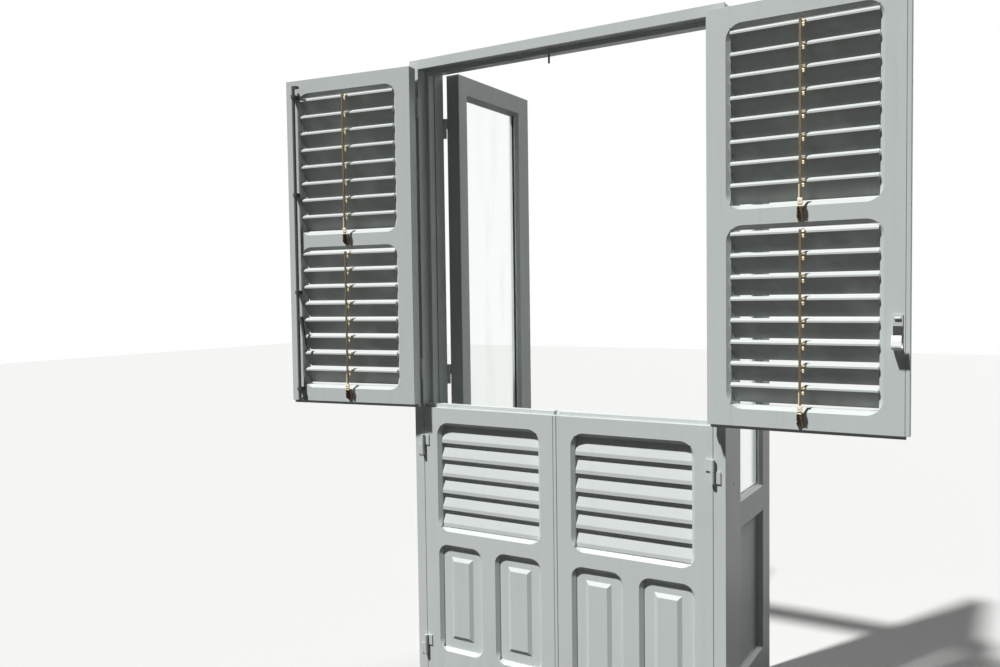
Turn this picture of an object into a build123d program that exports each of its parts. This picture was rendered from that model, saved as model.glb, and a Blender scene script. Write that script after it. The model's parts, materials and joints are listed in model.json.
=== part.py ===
from build123d import *
import math
import os

os.makedirs("parts", exist_ok=True)

# Timber window frame with two opening louvred shutters above two half doors, and a glazed casement pair behind.
# Millimetres. The origin is the bottom centre of the frame on its street face, +Y into the room, +Z up.
# Every leaf is drawn shut, as a left-hand leaf; right-hand leaves are mirrored, and open leaves swung at the end.

# Frame
opening_width = 1103.0
jamb_face = 38.0
head_face = 34.0
seat_gap = 1.0
stop_cover = 14.5
stop_depth = 32.0
frame_groove = 12.0
inner_stop_depth = 13.0
inner_stop_cover = 10.5
head_stop_depth = 14.0
head_stop_cover = 13.0
head_groove = 5.0
sill_height = 18.0
sill_slope = 2.0
sill_step = 12.0
inner_sill_height = 20.0
fixing_radius = 4.0
fixing_first = 260.0
fixing_pitch = 610.0
fixing_count = 4

# Leaves
leaf_thickness = 45.0
hinge_gap = 1.5
meeting_line = 5.0
meeting_gap = 1.6
meeting_lap = 13.0
meeting_cover = 22.0
meeting_bevel = 3.0
hinge_stile = 59.0
meeting_stile = 59.0
quirk_inset = 11.7
quirk_width = 3.0
quirk_depth = 2.4
leaf_chamfer = 1.2
bead = 12.0
louvre_corner = 48.0

# Half doors
ledge_height = 1060.0
ledge_depth = 18.0
ledge_rise = 13.0
door_clearance = 4.0
door_top_rail = 54.0
door_louvre_height = 404.0
door_mid_rail = 50.0
door_panel_height = 401.0
muntin_width = 56.0
panel_corner = 40.0
panel_recess = 15.0
panel_thickness = 17.0
field_margin = 35.0
field_bevel = 13.5
field_rise = 8.5
fixed_slats = 6
fixed_slat_first = 52.0
fixed_slat_pitch = 62.3
fixed_slat_inset = 13.0
fixed_nose_height = 13.0
fixed_slat_height = 62.0
fixed_slat_run = 20.0
fixed_slat_thickness = 9.5

# Shutters
shutter_clearance = 3.0
shutter_height = 1242.0
shutter_lip = 15.0
shutter_lip_depth = 13.0
shutter_top_rail = 52.0
shutter_mid_rail = 46.0
shutter_louvre_height = 540.0
head_clearance = 2.0
left_open_angle = 172.0
right_open_angle = 180.0

# Moving slats and their pins
slat_count = 8
slat_pitch = 63.5
slat_width = 67.0
slat_thickness = 15.0
slat_tilt = 50.0
slat_side_gap = 1.0
nose_chamfer = 4.5
nose_round = 1.0
slat_pin_radius = 3.0
slat_pin_length = 7.0
slat_pin_clearance = 0.06
slat_hole_depth = 8.0

# Tilt rods, their links to the slats and the catches below them
link_reach = 4.4
link_drop = 4.7
link_radius = 2.5
link_thickness = 3.0
link_gap = 0.3
link_inset = 1.0
link_root = 1.0
rod_width = 8.0
rod_thickness = 4.0
rod_standoff = 9.0
rod_over = 5.0
grip_width = 14.0
grip_height = 24.0
grip_thickness = 7.0
grip_drop = 16.0
catch_width = 16.0
catch_height = 40.0
catch_plate = 2.5
catch_inset = 2.0
fin_offset = 9.4
fin_thickness = 2.0
fin_reach = 22.0
fin_height = 30.0
fin_tooth = 3.0
fin_teeth = 3

# Lift-off hinges
barrel_radius = 7.0
barrel_standoff = 9.0
barrel_height = 75.0
barrel_split = 0.5
hinge_pin_radius = 4.0
hinge_pin_clearance = 0.06
hinge_plate_width = 24.0
hinge_plate = 4.0
hinge_axis_gap = 0.5
hinge_inset = 140.0
casement_hinge_inset = 200.0

# Turning bolt on the left shutter, with its hooks, guides and handle, the peg at the head and the keeper
bolt_radius = 6.0
bolt_inset = 46.0
bolt_standoff = 18.0
bolt_end_inset = 14.0
bolt_top_inset = 24.0
peg_offset = 20.0
peg_setback = 9.0
peg_radius = 3.5
peg_length = 30.0
hook_gap = 0.6
hook_thickness = 4.0
hook_height = 8.0
hook_arm = 6.0
hook_end_inset = 5.0
hook_rest_angle = 170.0
hook_sweep = 34.0
guide_wall = 3.5
guide_height = 14.0
guide_clearance = 0.06
guide_count = 4
guide_bottom_inset = 52.0
guide_top_inset = 58.0
handle_height = 333.0
handle_rest_angle = 172.0
handle_lean = 11.0
handle_pivot = 15.0
handle_length = 116.0
handle_width = 12.0
handle_shank = 9.0
handle_knob = 8.0
handle_lug = 6.0
handle_cheek = 3.0
handle_gap = 0.3
handle_pin_radius = 2.5
handle_pin_clearance = 0.06
keeper_inset = 24.0
keeper_width = 26.0
keeper_rise = 248.0
keeper_height = 95.0
keeper_plate = 3.0
keeper_shelf = 5.0
keeper_room = 25.0
keeper_hook = 4.0
keeper_hook_height = 39.0

# Casements
casement_thickness = 56.0
casement_clearance = 4.0
casement_top_gap = 2.0
casement_head_rise = 11.0
casement_gap = 1.5
casement_lap = 12.5
casement_half = 28.0
casement_hinge_stile = 55.0
casement_meeting_stile = 96.0
casement_top_rail = 70.0
casement_mid_rail = 90.0
casement_bottom_rail = 120.0
casement_panel_height = 520.0
glass_thickness = 20.0
lower_panel_thickness = 16.0
casement_angle = 90.0

# Places worked out from the sizes above
rebate_x = opening_width / 2
outer_x = rebate_x + jamb_face
stop_y = leaf_thickness + seat_gap
stop_back_y = stop_y + stop_depth
inner_stop_y = stop_back_y + frame_groove
casement_rebate_y = inner_stop_y + inner_stop_depth
casement_y = casement_rebate_y + seat_gap
frame_depth = casement_y + casement_thickness
shutter_bottom = ledge_height + shutter_clearance
shutter_top = shutter_bottom + shutter_height
head_z = shutter_top + head_clearance
frame_top = head_z + head_face
hinge_x = -(rebate_x - hinge_axis_gap)
leaf_x = -(rebate_x - hinge_gap)
pivot_y = leaf_thickness / 2
door_bottom = sill_height + door_clearance
casement_bottom = inner_sill_height + casement_clearance
casement_top = head_z + casement_head_rise - casement_top_gap
hole_left = leaf_x + hinge_stile + bead
hole_right = -meeting_stile - bead
hole_middle = (hole_left + hole_right) / 2
hole_width = hole_right - hole_left
slat_length = hole_width - 2 * slat_side_gap
link_x = slat_width / 2 + link_reach
link_y = -(slat_thickness / 2 + link_drop)
tilt = math.radians(slat_tilt)
link_dy = link_x * math.cos(tilt) - link_y * math.sin(tilt)
link_dz = link_x * math.sin(tilt) + link_y * math.cos(tilt)
rod_y = pivot_y + link_dy + rod_standoff


def street_plane(y):
    """A drawing plane at depth y that faces the street, with X to the right and Z up."""
    return Plane(origin=(0, y, 0), x_dir=(1, 0, 0), z_dir=(0, -1, 0))


def write_solids(name, pieces):
    """Write several pieces that stay together as one labelled file."""
    solids = [solid for piece in pieces for solid in piece.solids()]
    whole = Compound(label=name, children=solids)
    export_step(whole, f"parts/{name}.step")


def write_part(name, part):
    """Write one labelled piece."""
    part.label = name
    export_step(part, f"parts/{name}.step")


def leaf_plan(x_edge, y_front, thickness, strip_in_front, bevel=0.0):
    """The plan of a leaf up to its meeting edge, chamfered all round but where a strip is planted."""
    y_back = y_front + thickness
    c = leaf_chamfer
    front, back = (0, c) if strip_in_front else (c, 0)
    corners = [
        (leaf_x + c, y_front),
        (x_edge - front, y_front),
        (x_edge, y_front + front),
        (x_edge - (0 if back else bevel), y_back - back),
        (x_edge - back - bevel, y_back),
        (leaf_x + c, y_back),
        (leaf_x, y_back - c),
        (leaf_x, y_front + c),
    ]
    with BuildSketch() as plan:
        with BuildLine():
            Polyline(*dict.fromkeys(corners), close=True)
        make_face()
    return plan.sketch


def routed_pocket(x, z, width, height, corner, y_front, y_back):
    """The cutter of an opening: square through, with a splayed and rounded bead routed round it on both faces."""
    with BuildPart() as cutter:
        with BuildSketch(street_plane(y_front)):
            with Locations((x, z)):
                Rectangle(width, height)
        extrude(amount=-(y_back - y_front))
        for y, inward in ((y_front, 1), (y_back, -1)):
            with BuildSketch(street_plane(y)):
                with Locations((x, z)):
                    RectangleRounded(width + 2 * bead, height + 2 * bead, corner)
            with BuildSketch(street_plane(y + inward * bead)):
                with Locations((x, z)):
                    RectangleRounded(width, height, corner - bead)
            loft(ruled=True)
    return cutter.part


def frame_hinge_half(face_y, out, z):
    """The lower half of a lift-off hinge on the frame, with the standing pin."""
    axis_y = face_y + out * barrel_standoff
    half = (barrel_height - barrel_split) / 2
    with BuildPart() as lower:
        with BuildSketch(Plane.XY.offset(z - barrel_height / 2)):
            with Locations((hinge_x, axis_y)):
                Circle(barrel_radius)
            with Locations((hinge_x - hinge_plate_width / 2, face_y + out * hinge_plate / 2)):
                Rectangle(hinge_plate_width, hinge_plate)
        extrude(amount=half)
        with BuildSketch(Plane.XY.offset(z - barrel_height / 2 + half)):
            with Locations((hinge_x, axis_y)):
                Circle(hinge_pin_radius)
        extrude(amount=half)
    return lower.part


def leaf_hinge_half(face_y, out, z):
    """The upper half of a lift-off hinge on the leaf, bored for the pin."""
    axis_y = face_y + out * barrel_standoff
    half = (barrel_height - barrel_split) / 2
    with BuildPart() as upper:
        with BuildSketch(Plane.XY.offset(z + barrel_split / 2)):
            with Locations((hinge_x, axis_y)):
                Circle(barrel_radius)
            with Locations((hinge_x + hinge_plate_width / 2, face_y + out * hinge_plate / 2)):
                Rectangle(hinge_plate_width, hinge_plate)
            with Locations((hinge_x, axis_y)):
                Circle(hinge_pin_radius + hinge_pin_clearance, mode=Mode.SUBTRACT)
        extrude(amount=half)
    return upper.part


def joined_leaf(blank, strips):
    """Cut a leaf at its openings' sides, so that its two stiles and the rails between them are separate timbers."""
    with BuildPart() as left_stile:
        add(blank)
        split(bisect_by=Plane.YZ.offset(hole_left), keep=Keep.BOTTOM)
    with BuildPart() as right_stile:
        add(blank)
        split(bisect_by=Plane.YZ.offset(hole_right), keep=Keep.TOP)
    with BuildPart() as rails:
        add(blank)
        split(bisect_by=Plane.YZ.offset(hole_left), keep=Keep.TOP)
        split(bisect_by=Plane.YZ.offset(hole_right), keep=Keep.BOTTOM)
    return [left_stile.part, right_stile.part, rails.part] + strips


# The meeting edges. The left shutter opens first, so its planted strip covers the joint from the street.
left_edge = meeting_line - meeting_gap / 2 - meeting_lap
right_edge = -(meeting_line + meeting_gap / 2)
leaf_edges = {"left": left_edge, "right": right_edge}


def meeting_strip(x0, y_face, y_inside, lap, bottom, top):
    """The strip planted on a meeting edge to lap over the other leaf, with a V groove beside the joint."""
    inward = math.copysign(1, y_inside - y_face)
    with BuildPart() as strip:
        with BuildSketch(Plane.XY.offset(bottom)):
            with BuildLine():
                Polyline(
                    (x0, y_inside),
                    (x0, y_face),
                    (x0 + quirk_width / 2, y_face + inward * quirk_depth),
                    (x0 + quirk_width, y_face),
                    (x0 + lap - leaf_chamfer, y_face),
                    (x0 + lap, y_face + inward * leaf_chamfer),
                    (x0 + lap, y_inside),
                    close=True,
                )
            make_face()
        extrude(amount=top - bottom)
    return strip.part


def side_strip(side, bottom, top):
    """The lapping strip of a shutter: in front on the left leaf, behind on the right one."""
    if side == "left":
        return meeting_strip(left_edge, 0, meeting_cover, meeting_lap, bottom, top)
    return meeting_strip(right_edge, leaf_thickness, meeting_cover + seat_gap, meeting_lap, bottom, top)


def edge_strip(bottom, top):
    """The strip glued on the whole meeting edge of the left half door, bevelled so that each door opens alone."""
    x0, x1 = left_edge, left_edge + meeting_lap
    with BuildPart() as strip:
        with BuildSketch(Plane.XY.offset(bottom)):
            with BuildLine():
                Polyline(
                    (x0, leaf_thickness),
                    (x0, 0),
                    (x0 + quirk_width / 2, quirk_depth),
                    (x0 + quirk_width, 0),
                    (x1 - leaf_chamfer, 0),
                    (x1, leaf_chamfer),
                    (x1 - meeting_bevel, leaf_thickness),
                    close=True,
                )
            make_face()
        extrude(amount=top - bottom)
    return strip.part


def plank(x0, x1, y0, y1, z0, z1):
    """A plain board."""
    with BuildPart() as board:
        with BuildSketch(Plane.XY.offset(z0)):
            with Locations(((x0 + x1) / 2, (y0 + y1) / 2)):
                Rectangle(x1 - x0, y1 - y0)
        extrude(amount=z1 - z0)
    return board.part


# Jambs, full height, with the fixing holes in the groove behind the leaves' stop
with BuildPart() as jamb:
    with BuildSketch():
        with BuildLine():
            Polyline(
                (-outer_x, 0),
                (-rebate_x, 0),
                (-rebate_x, stop_y),
                (-rebate_x + stop_cover, stop_y),
                (-rebate_x + stop_cover, stop_back_y),
                (-rebate_x, stop_back_y),
                (-rebate_x, inner_stop_y),
                (-rebate_x + inner_stop_cover, inner_stop_y),
                (-rebate_x + inner_stop_cover, casement_rebate_y),
                (-rebate_x, casement_rebate_y),
                (-rebate_x, frame_depth),
                (-outer_x, frame_depth),
                close=True,
            )
        make_face()
    extrude(amount=frame_top)
    with BuildSketch(Plane.YZ.offset(-outer_x)):
        for number in range(fixing_count):
            with Locations((stop_back_y + frame_groove / 2, fixing_first + number * fixing_pitch)):
                Circle(fixing_radius)
    extrude(amount=jamb_face, mode=Mode.SUBTRACT)
jamb_right = jamb.part.mirror(Plane.YZ)
write_part("frame_jamb_right", jamb_right)
write_part("frame_jamb_left", jamb.part)

# Head, coped between the jambs
head_stop_z = head_z - head_stop_cover
with BuildPart() as frame_head:
    with BuildSketch(Plane.YZ.offset(-outer_x)):
        with BuildLine():
            Polyline(
                (0, frame_top),
                (0, head_z),
                (stop_y, head_z),
                (stop_y, head_stop_z),
                (stop_y + head_stop_depth, head_stop_z),
                (stop_y + head_stop_depth, head_z + head_groove),
                (inner_stop_y, head_z + head_groove),
                (inner_stop_y, head_z),
                (casement_rebate_y, head_z),
                (casement_rebate_y, head_z + casement_head_rise),
                (frame_depth, head_z + casement_head_rise),
                (frame_depth, frame_top),
                close=True,
            )
        make_face()
    extrude(amount=2 * outer_x)
    add(jamb.part, mode=Mode.SUBTRACT)
    add(jamb_right, mode=Mode.SUBTRACT)
write_part("frame_head", frame_head.part)

# Threshold, weathered to the street and stepped up behind the doors
with BuildPart() as threshold:
    with BuildSketch(Plane.YZ.offset(-outer_x)):
        with BuildLine():
            Polyline(
                (0, 0),
                (frame_depth, 0),
                (frame_depth, inner_sill_height),
                (casement_rebate_y, inner_sill_height),
                (casement_rebate_y, sill_height + sill_step),
                (stop_y, sill_height + sill_step),
                (stop_y, sill_height),
                (0, sill_height - sill_slope),
                close=True,
            )
        make_face()
    extrude(amount=2 * outer_x)
    add(jamb.part, mode=Mode.SUBTRACT)
    add(jamb_right, mode=Mode.SUBTRACT)
write_part("threshold", threshold.part)

# Hinge halves on the frame
shutter_hinges = (shutter_bottom + hinge_inset, shutter_top - hinge_inset)
door_hinges = (door_bottom + hinge_inset, ledge_height - hinge_inset)
casement_hinges = (
    casement_bottom + casement_hinge_inset,
    (casement_bottom + casement_top) / 2,
    casement_top - casement_hinge_inset,
)
frame_hinges = [frame_hinge_half(0, -1, z) for z in shutter_hinges + door_hinges]
frame_hinges += [frame_hinge_half(frame_depth, 1, z) for z in casement_hinges]
write_solids("frame_hinges", frame_hinges + [half.mirror(Plane.YZ) for half in frame_hinges])

# Shutters
shutter_axis = Axis((hinge_x, -barrel_standoff, 0), (0, 0, 1))
right_axis = Axis((-hinge_x, -barrel_standoff, 0), (0, 0, 1))
body_bottom = shutter_bottom + shutter_lip_depth
upper_top = shutter_top - shutter_top_rail - bead
upper_bottom = upper_top - shutter_louvre_height + 2 * bead
lower_top = upper_bottom - 2 * bead - shutter_mid_rail
lower_bottom = lower_top - shutter_louvre_height + 2 * bead
slat_room = shutter_louvre_height - 2 * bead
slat_first = (slat_room - (slat_count - 1) * slat_pitch) / 2
banks = {"upper": upper_top, "lower": lower_top}


def swing(side, part):
    """Mirror a right-hand piece and open the leaf that carries it."""
    if side == "left":
        return part.rotate(shutter_axis, -left_open_angle)
    return part.mirror(Plane.YZ).rotate(right_axis, right_open_angle)


def shutter_frame(side):
    """Stiles, rails, planted strips and hinge halves of a shutter, shut and left-handed."""
    edge = leaf_edges[side]
    plan = leaf_plan(edge, 0, leaf_thickness, side == "left")
    pockets = [
        routed_pocket(hole_middle, top - slat_room / 2, hole_width, slat_room, louvre_corner, 0, leaf_thickness)
        for top in banks.values()
    ]
    pin_places = [(pivot_y, top - slat_first - n * slat_pitch) for top in banks.values() for n in range(slat_count)]
    with BuildPart() as blank:
        with BuildSketch(Plane.XY.offset(body_bottom)):
            add(plan)
        extrude(amount=shutter_top - body_bottom)
        for pocket in pockets:
            add(pocket, mode=Mode.SUBTRACT)
        for x in (hole_left - slat_hole_depth, hole_right):
            with BuildSketch(Plane.YZ.offset(x)):
                with Locations(*pin_places):
                    Circle(slat_pin_radius + slat_pin_clearance)
            extrude(amount=slat_hole_depth, mode=Mode.SUBTRACT)
    lip_edge = left_edge + meeting_lap if side == "left" else right_edge
    planted = [
        side_strip(side, body_bottom, shutter_top),
        plank(leaf_x, lip_edge, 0, shutter_lip, shutter_bottom, body_bottom),
    ]
    planted += [leaf_hinge_half(0, -1, z) for z in shutter_hinges]
    return joined_leaf(blank.part, planted)


def slat_plane(x, z):
    """The section plane of a slat: x runs across the slat to its nose, y is its upper side, z along the pins."""
    return Plane(origin=(x, pivot_y, z), x_dir=(0, math.cos(tilt), math.sin(tilt)), z_dir=(1, 0, 0))


def louvre_slat(z, link_side):
    """A slat with its end pins, and the link plate on its nose to the given side of the tilt rod."""
    w, h, c, r = slat_width / 2, slat_thickness / 2, nose_chamfer, nose_round
    x0 = hole_left + slat_side_gap
    with BuildPart() as slat:
        with BuildSketch(slat_plane(x0, z)):
            with BuildLine():
                Polyline(
                    (w, h - r),
                    (w - r, h),
                    (-w + c, h),
                    (-w, h - c),
                    (-w, -h + r),
                    (-w + r, -h),
                    (w - c, -h),
                    (w, -h + c),
                    close=True,
                )
            make_face()
        extrude(amount=slat_length)
        with BuildSketch(slat_plane(x0 - slat_pin_length, z)):
            Circle(slat_pin_radius)
        extrude(amount=slat_length + 2 * slat_pin_length)
    tip = Vector(link_x, link_y)
    foot = Vector(w - c, -h)
    top = Vector(w, link_root)
    above = tip + (tip - top).normalized().rotate(Axis.Z, 90) * link_radius
    below = tip + (tip - foot).normalized().rotate(Axis.Z, -90) * link_radius
    near = link_inset + link_thickness + link_gap
    x_link = hole_middle + (near if link_side > 0 else -near - link_thickness)
    with BuildPart() as link:
        with BuildSketch(slat_plane(x_link, z)):
            with BuildLine():
                Polyline((foot.X, foot.Y), (w, -h + c), (w, top.Y), (above.X, above.Y), (below.X, below.Y), close=True)
            make_face()
            with Locations((link_x, link_y)):
                Circle(link_radius)
        extrude(amount=link_thickness)
    return [slat.part, link.part]


def tilt_rod(top, link_side):
    """The flat tilt rod of a bank, its link plates, and the grip at its lower end."""
    first_z = top - slat_first + link_dz
    x_plate = hole_middle + (link_inset if link_side > 0 else -link_inset - link_thickness)
    bottom = top - slat_room - grip_drop
    with BuildPart() as bar:
        with BuildSketch(Plane.XY.offset(bottom + grip_height)):
            with Locations((hole_middle, rod_y)):
                Rectangle(rod_width, rod_thickness)
        extrude(amount=first_z + rod_over - bottom - grip_height)
        with BuildSketch(Plane.YZ.offset(x_plate)):
            for number in range(slat_count):
                z = first_z - number * slat_pitch
                with Locations((rod_y - rod_standoff, z)):
                    Circle(link_radius)
                with Locations((rod_y - rod_standoff / 2, z)):
                    Rectangle(rod_standoff, 2 * link_radius)
        extrude(amount=link_thickness)
    with BuildPart() as grip:
        with BuildSketch(Plane.XY.offset(bottom)):
            with Locations((hole_middle, rod_y)):
                Rectangle(grip_width, grip_thickness)
        extrude(amount=grip_height)
        chamfer(grip.edges().filter_by(Axis.Z), leaf_chamfer)
    return [bar.part, grip.part]


def rod_catch(top, link_side):
    """The catch below a tilt rod: a screwed plate with a toothed fin that holds the grip at a chosen tilt."""
    z_top = top - slat_room - bead - catch_inset
    x_fin = hole_middle - link_side * (fin_offset - fin_thickness / 2)
    tooth = fin_height / fin_teeth
    with BuildPart() as plate:
        with BuildSketch(street_plane(leaf_thickness)):
            with Locations((hole_middle - link_side * (fin_offset - catch_width / 2), z_top - catch_height / 2)):
                Rectangle(catch_width, catch_height)
        extrude(amount=-catch_plate)
    seat = leaf_thickness + catch_plate
    tip = leaf_thickness + fin_reach
    with BuildPart() as fin:
        with BuildSketch(Plane.YZ.offset(x_fin - fin_thickness / 2)):
            with BuildLine():
                edge = [(seat, z_top), (tip - fin_tooth, z_top)]
                for number in range(fin_teeth):
                    z = z_top - number * tooth
                    edge += [(tip, z - tooth / 2), (tip - fin_tooth, z - tooth)]
                edge += [(seat, z_top - catch_height)]
                Polyline(*edge, close=True)
            make_face()
        extrude(amount=fin_thickness)
    return [plate.part, fin.part]


# In the open leaves, seen from the street, the links are to the right of each tilt rod.
link_sides = {"left": -1, "right": 1}
for side, link_side in link_sides.items():
    write_solids(f"shutter_{side}_frame", [swing(side, piece) for piece in shutter_frame(side)])
    catches = [piece for top in banks.values() for piece in rod_catch(top, link_side)]
    write_solids(f"shutter_{side}_catches", [swing(side, piece) for piece in catches])
    for bank, top in banks.items():
        rod_pieces = tilt_rod(top, link_side)
        write_solids(f"shutter_{side}_{bank}_rod", [swing(side, piece) for piece in rod_pieces])
        for number in range(slat_count):
            slat_pieces = louvre_slat(top - slat_first - number * slat_pitch, link_side)
            name = f"shutter_{side}_{bank}_slat_{number + 1}"
            write_solids(name, [swing(side, piece) for piece in slat_pieces])

# Turning bolt on the left shutter
bolt_x = left_edge - bolt_inset
bolt_y = leaf_thickness + bolt_standoff
bolt_bottom = shutter_bottom + bolt_end_inset
bolt_top = shutter_top - bolt_top_inset
handle_z = shutter_bottom + handle_height
peg_distance = math.hypot(peg_offset, peg_setback)
hook_inner = peg_distance + peg_radius + hook_gap
hook_outer = hook_inner + hook_thickness


def radial_plane(angle):
    """An upright plane through the bolt at the handle's height: x points outward at the angle, y points up."""
    a = math.radians(angle)
    return Plane(origin=(bolt_x, bolt_y, handle_z), x_dir=(math.cos(a), math.sin(a), 0), z_dir=(math.sin(a), -math.cos(a), 0))


with BuildPart() as bolt_rod:
    with BuildSketch(Plane.XY.offset(bolt_bottom)):
        with Locations((bolt_x, bolt_y)):
            Circle(bolt_radius)
    extrude(amount=bolt_top - bolt_bottom)
    for z in (bolt_bottom + hook_end_inset, bolt_top - hook_end_inset - hook_height):
        with BuildSketch(Plane(origin=(bolt_x, bolt_y, z), x_dir=(1, 0, 0), z_dir=(0, 0, 1))):
            with BuildLine():
                start = hook_rest_angle - hook_sweep
                inner_arc = CenterArc((0, 0), hook_inner, start, hook_sweep)
                outer_arc = CenterArc((0, 0), hook_outer, start, hook_sweep)
                Line(inner_arc @ 0, outer_arc @ 0)
                Line(inner_arc @ 1, outer_arc @ 1)
            make_face()
            with Locations(Location((0, 0), hook_rest_angle)):
                with Locations(((hook_inner + hook_thickness / 2) / 2, 0)):
                    Rectangle(hook_inner + hook_thickness / 2, hook_arm)
        extrude(amount=hook_height)
    with BuildSketch(radial_plane(handle_rest_angle)):
        with Locations((handle_pivot / 2, 0)):
            SlotCenterToCenter(handle_pivot, handle_width)
        with Locations((handle_pivot, 0)):
            Circle(handle_pin_radius + handle_pin_clearance, mode=Mode.SUBTRACT)
    extrude(amount=handle_lug / 2, both=True)
write_part("espagnolette_rod", bolt_rod.part.rotate(shutter_axis, -left_open_angle))

lean = math.radians(handle_lean)
lever_plane = radial_plane(handle_rest_angle)
cheek_inside = handle_lug / 2 + handle_gap
cheek_outside = cheek_inside + handle_cheek
shank_start = math.hypot(handle_width / 2, handle_width / 2) + handle_gap


def along_lever(distance):
    """A point of the lever at a distance below its pivot."""
    return (handle_pivot + distance * math.sin(lean), -distance * math.cos(lean))


with BuildPart() as bolt_handle:
    with BuildSketch(lever_plane):
        with Locations(Location(along_lever((shank_start + handle_length) / 2), handle_lean)):
            Rectangle(handle_shank, handle_length - shank_start)
        with Locations(along_lever(handle_length)):
            Circle(handle_knob)
    extrude(amount=handle_shank / 2, both=True)
    with BuildSketch(lever_plane):
        with Locations(Location(along_lever(handle_width * 0.6), handle_lean + 90)):
            SlotCenterToCenter(handle_width * 1.2, handle_width)
    extrude(amount=cheek_outside, both=True)
    with BuildSketch(lever_plane):
        with Locations((handle_pivot, 0)):
            Circle(shank_start)
    extrude(amount=cheek_inside, both=True, mode=Mode.SUBTRACT)
    with BuildSketch(lever_plane):
        with Locations((handle_pivot, 0)):
            Circle(handle_pin_radius)
    extrude(amount=cheek_outside, both=True)
write_part("espagnolette_handle", bolt_handle.part.rotate(shutter_axis, -left_open_angle))

guide_pieces = []
guide_room = shutter_height - guide_bottom_inset - guide_top_inset - guide_height
for number in range(guide_count):
    inset = guide_bottom_inset + number * guide_room / (guide_count - 1)
    with BuildPart() as guide:
        with BuildSketch(Plane.XY.offset(shutter_bottom + inset)):
            with Locations((bolt_x, bolt_y)):
                Circle(bolt_radius + guide_wall)
            with Locations((bolt_x, leaf_thickness + bolt_standoff / 2)):
                Rectangle(2 * (bolt_radius + guide_wall), bolt_standoff)
            with Locations((bolt_x, bolt_y)):
                Circle(bolt_radius + guide_clearance, mode=Mode.SUBTRACT)
        extrude(amount=guide_height)
    guide_pieces.append(guide.part.rotate(shutter_axis, -left_open_angle))
write_solids("espagnolette_guides", guide_pieces)

# Peg under the head, which the upper hook turns in behind
with BuildPart() as head_striker:
    with BuildSketch(Plane.XY.offset(head_stop_z - peg_length)):
        with Locations((bolt_x + peg_offset, bolt_y - peg_setback)):
            Circle(peg_radius)
    extrude(amount=peg_length)
write_part("head_striker", head_striker.part)

# Keeper on the right shutter: a plate with a hooked shelf that takes the lever
keeper_z = shutter_bottom + keeper_rise
shelf_y = leaf_thickness + keeper_plate + keeper_room
with BuildPart() as keeper:
    with BuildSketch(Plane.YZ.offset(-keeper_inset - keeper_width / 2)):
        with BuildLine():
            Polyline(
                (leaf_thickness, keeper_z),
                (shelf_y, keeper_z),
                (shelf_y + keeper_hook, keeper_z + keeper_hook),
                (shelf_y + keeper_hook, keeper_z + keeper_hook_height),
                (shelf_y, keeper_z + keeper_hook_height),
                (shelf_y, keeper_z + keeper_shelf),
                (leaf_thickness + keeper_plate, keeper_z + keeper_shelf),
                (leaf_thickness + keeper_plate, keeper_z + keeper_height),
                (leaf_thickness, keeper_z + keeper_height),
                close=True,
            )
        make_face()
    extrude(amount=keeper_width)
write_part("bolt_keeper", swing("right", keeper.part))

# Half doors, shut: a louvre with fixed slats above two raised panels
door_louvre_top = ledge_height - door_top_rail - bead
door_louvre_bottom = door_louvre_top - door_louvre_height + 2 * bead
panel_top = door_louvre_bottom - 2 * bead - door_mid_rail
panel_bottom = panel_top - door_panel_height + 2 * bead
panel_middle_z = (panel_top + panel_bottom) / 2
panel_room = panel_top - panel_bottom
muntin_hole = muntin_width + 2 * bead
panel_width = (hole_width - muntin_hole) / 2
panel_middles = (hole_left + panel_width / 2, hole_right - panel_width / 2)


def half_door_frame(side):
    """Stiles, rails, muntin, meeting strip and hinge halves of a half door."""
    edge = leaf_edges[side]
    louvre_z = (door_louvre_top + door_louvre_bottom) / 2
    louvre_height = door_louvre_top - door_louvre_bottom
    pockets = [routed_pocket(hole_middle, louvre_z, hole_width, louvre_height, louvre_corner, 0, leaf_thickness)]
    pockets += [
        routed_pocket(x, panel_middle_z, panel_width, panel_room, panel_corner, 0, leaf_thickness)
        for x in panel_middles
    ]
    with BuildPart() as blank:
        with BuildSketch(Plane.XY.offset(door_bottom)):
            add(leaf_plan(edge, 0, leaf_thickness, side == "left", 0.0 if side == "left" else meeting_bevel))
        extrude(amount=ledge_height - door_bottom)
        for pocket in pockets:
            add(pocket, mode=Mode.SUBTRACT)
    planted = [
        plank(leaf_x, edge - meeting_bevel, ledge_depth, leaf_thickness, ledge_height, ledge_height + ledge_rise),
    ]
    if side == "left":
        planted.append(edge_strip(door_bottom, ledge_height))
    planted += [leaf_hinge_half(0, -1, z) for z in door_hinges]
    return joined_leaf(blank.part, planted)


# The fixed slats are one profile, cut to the louvre opening
with BuildPart() as fixed_louvre:
    with BuildSketch(Plane.YZ.offset(hole_left)):
        for number in range(fixed_slats):
            z = door_louvre_top - fixed_slat_first - fixed_nose_height - number * fixed_slat_pitch
            y = fixed_slat_inset
            with BuildLine():
                Polyline(
                    (y, z),
                    (y, z + fixed_nose_height),
                    (y + fixed_slat_run, z + fixed_nose_height + fixed_slat_height),
                    (y + fixed_slat_run + fixed_slat_thickness, z + fixed_nose_height + fixed_slat_height),
                    (y + fixed_slat_thickness, z + fixed_nose_height),
                    (y + fixed_slat_thickness / 2, z),
                    close=True,
                )
            make_face()
        with Locations(((leaf_thickness) / 2, (door_louvre_top + door_louvre_bottom) / 2)):
            Rectangle(leaf_thickness, door_louvre_top - door_louvre_bottom, mode=Mode.INTERSECT)
    extrude(amount=hole_width)

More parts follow.
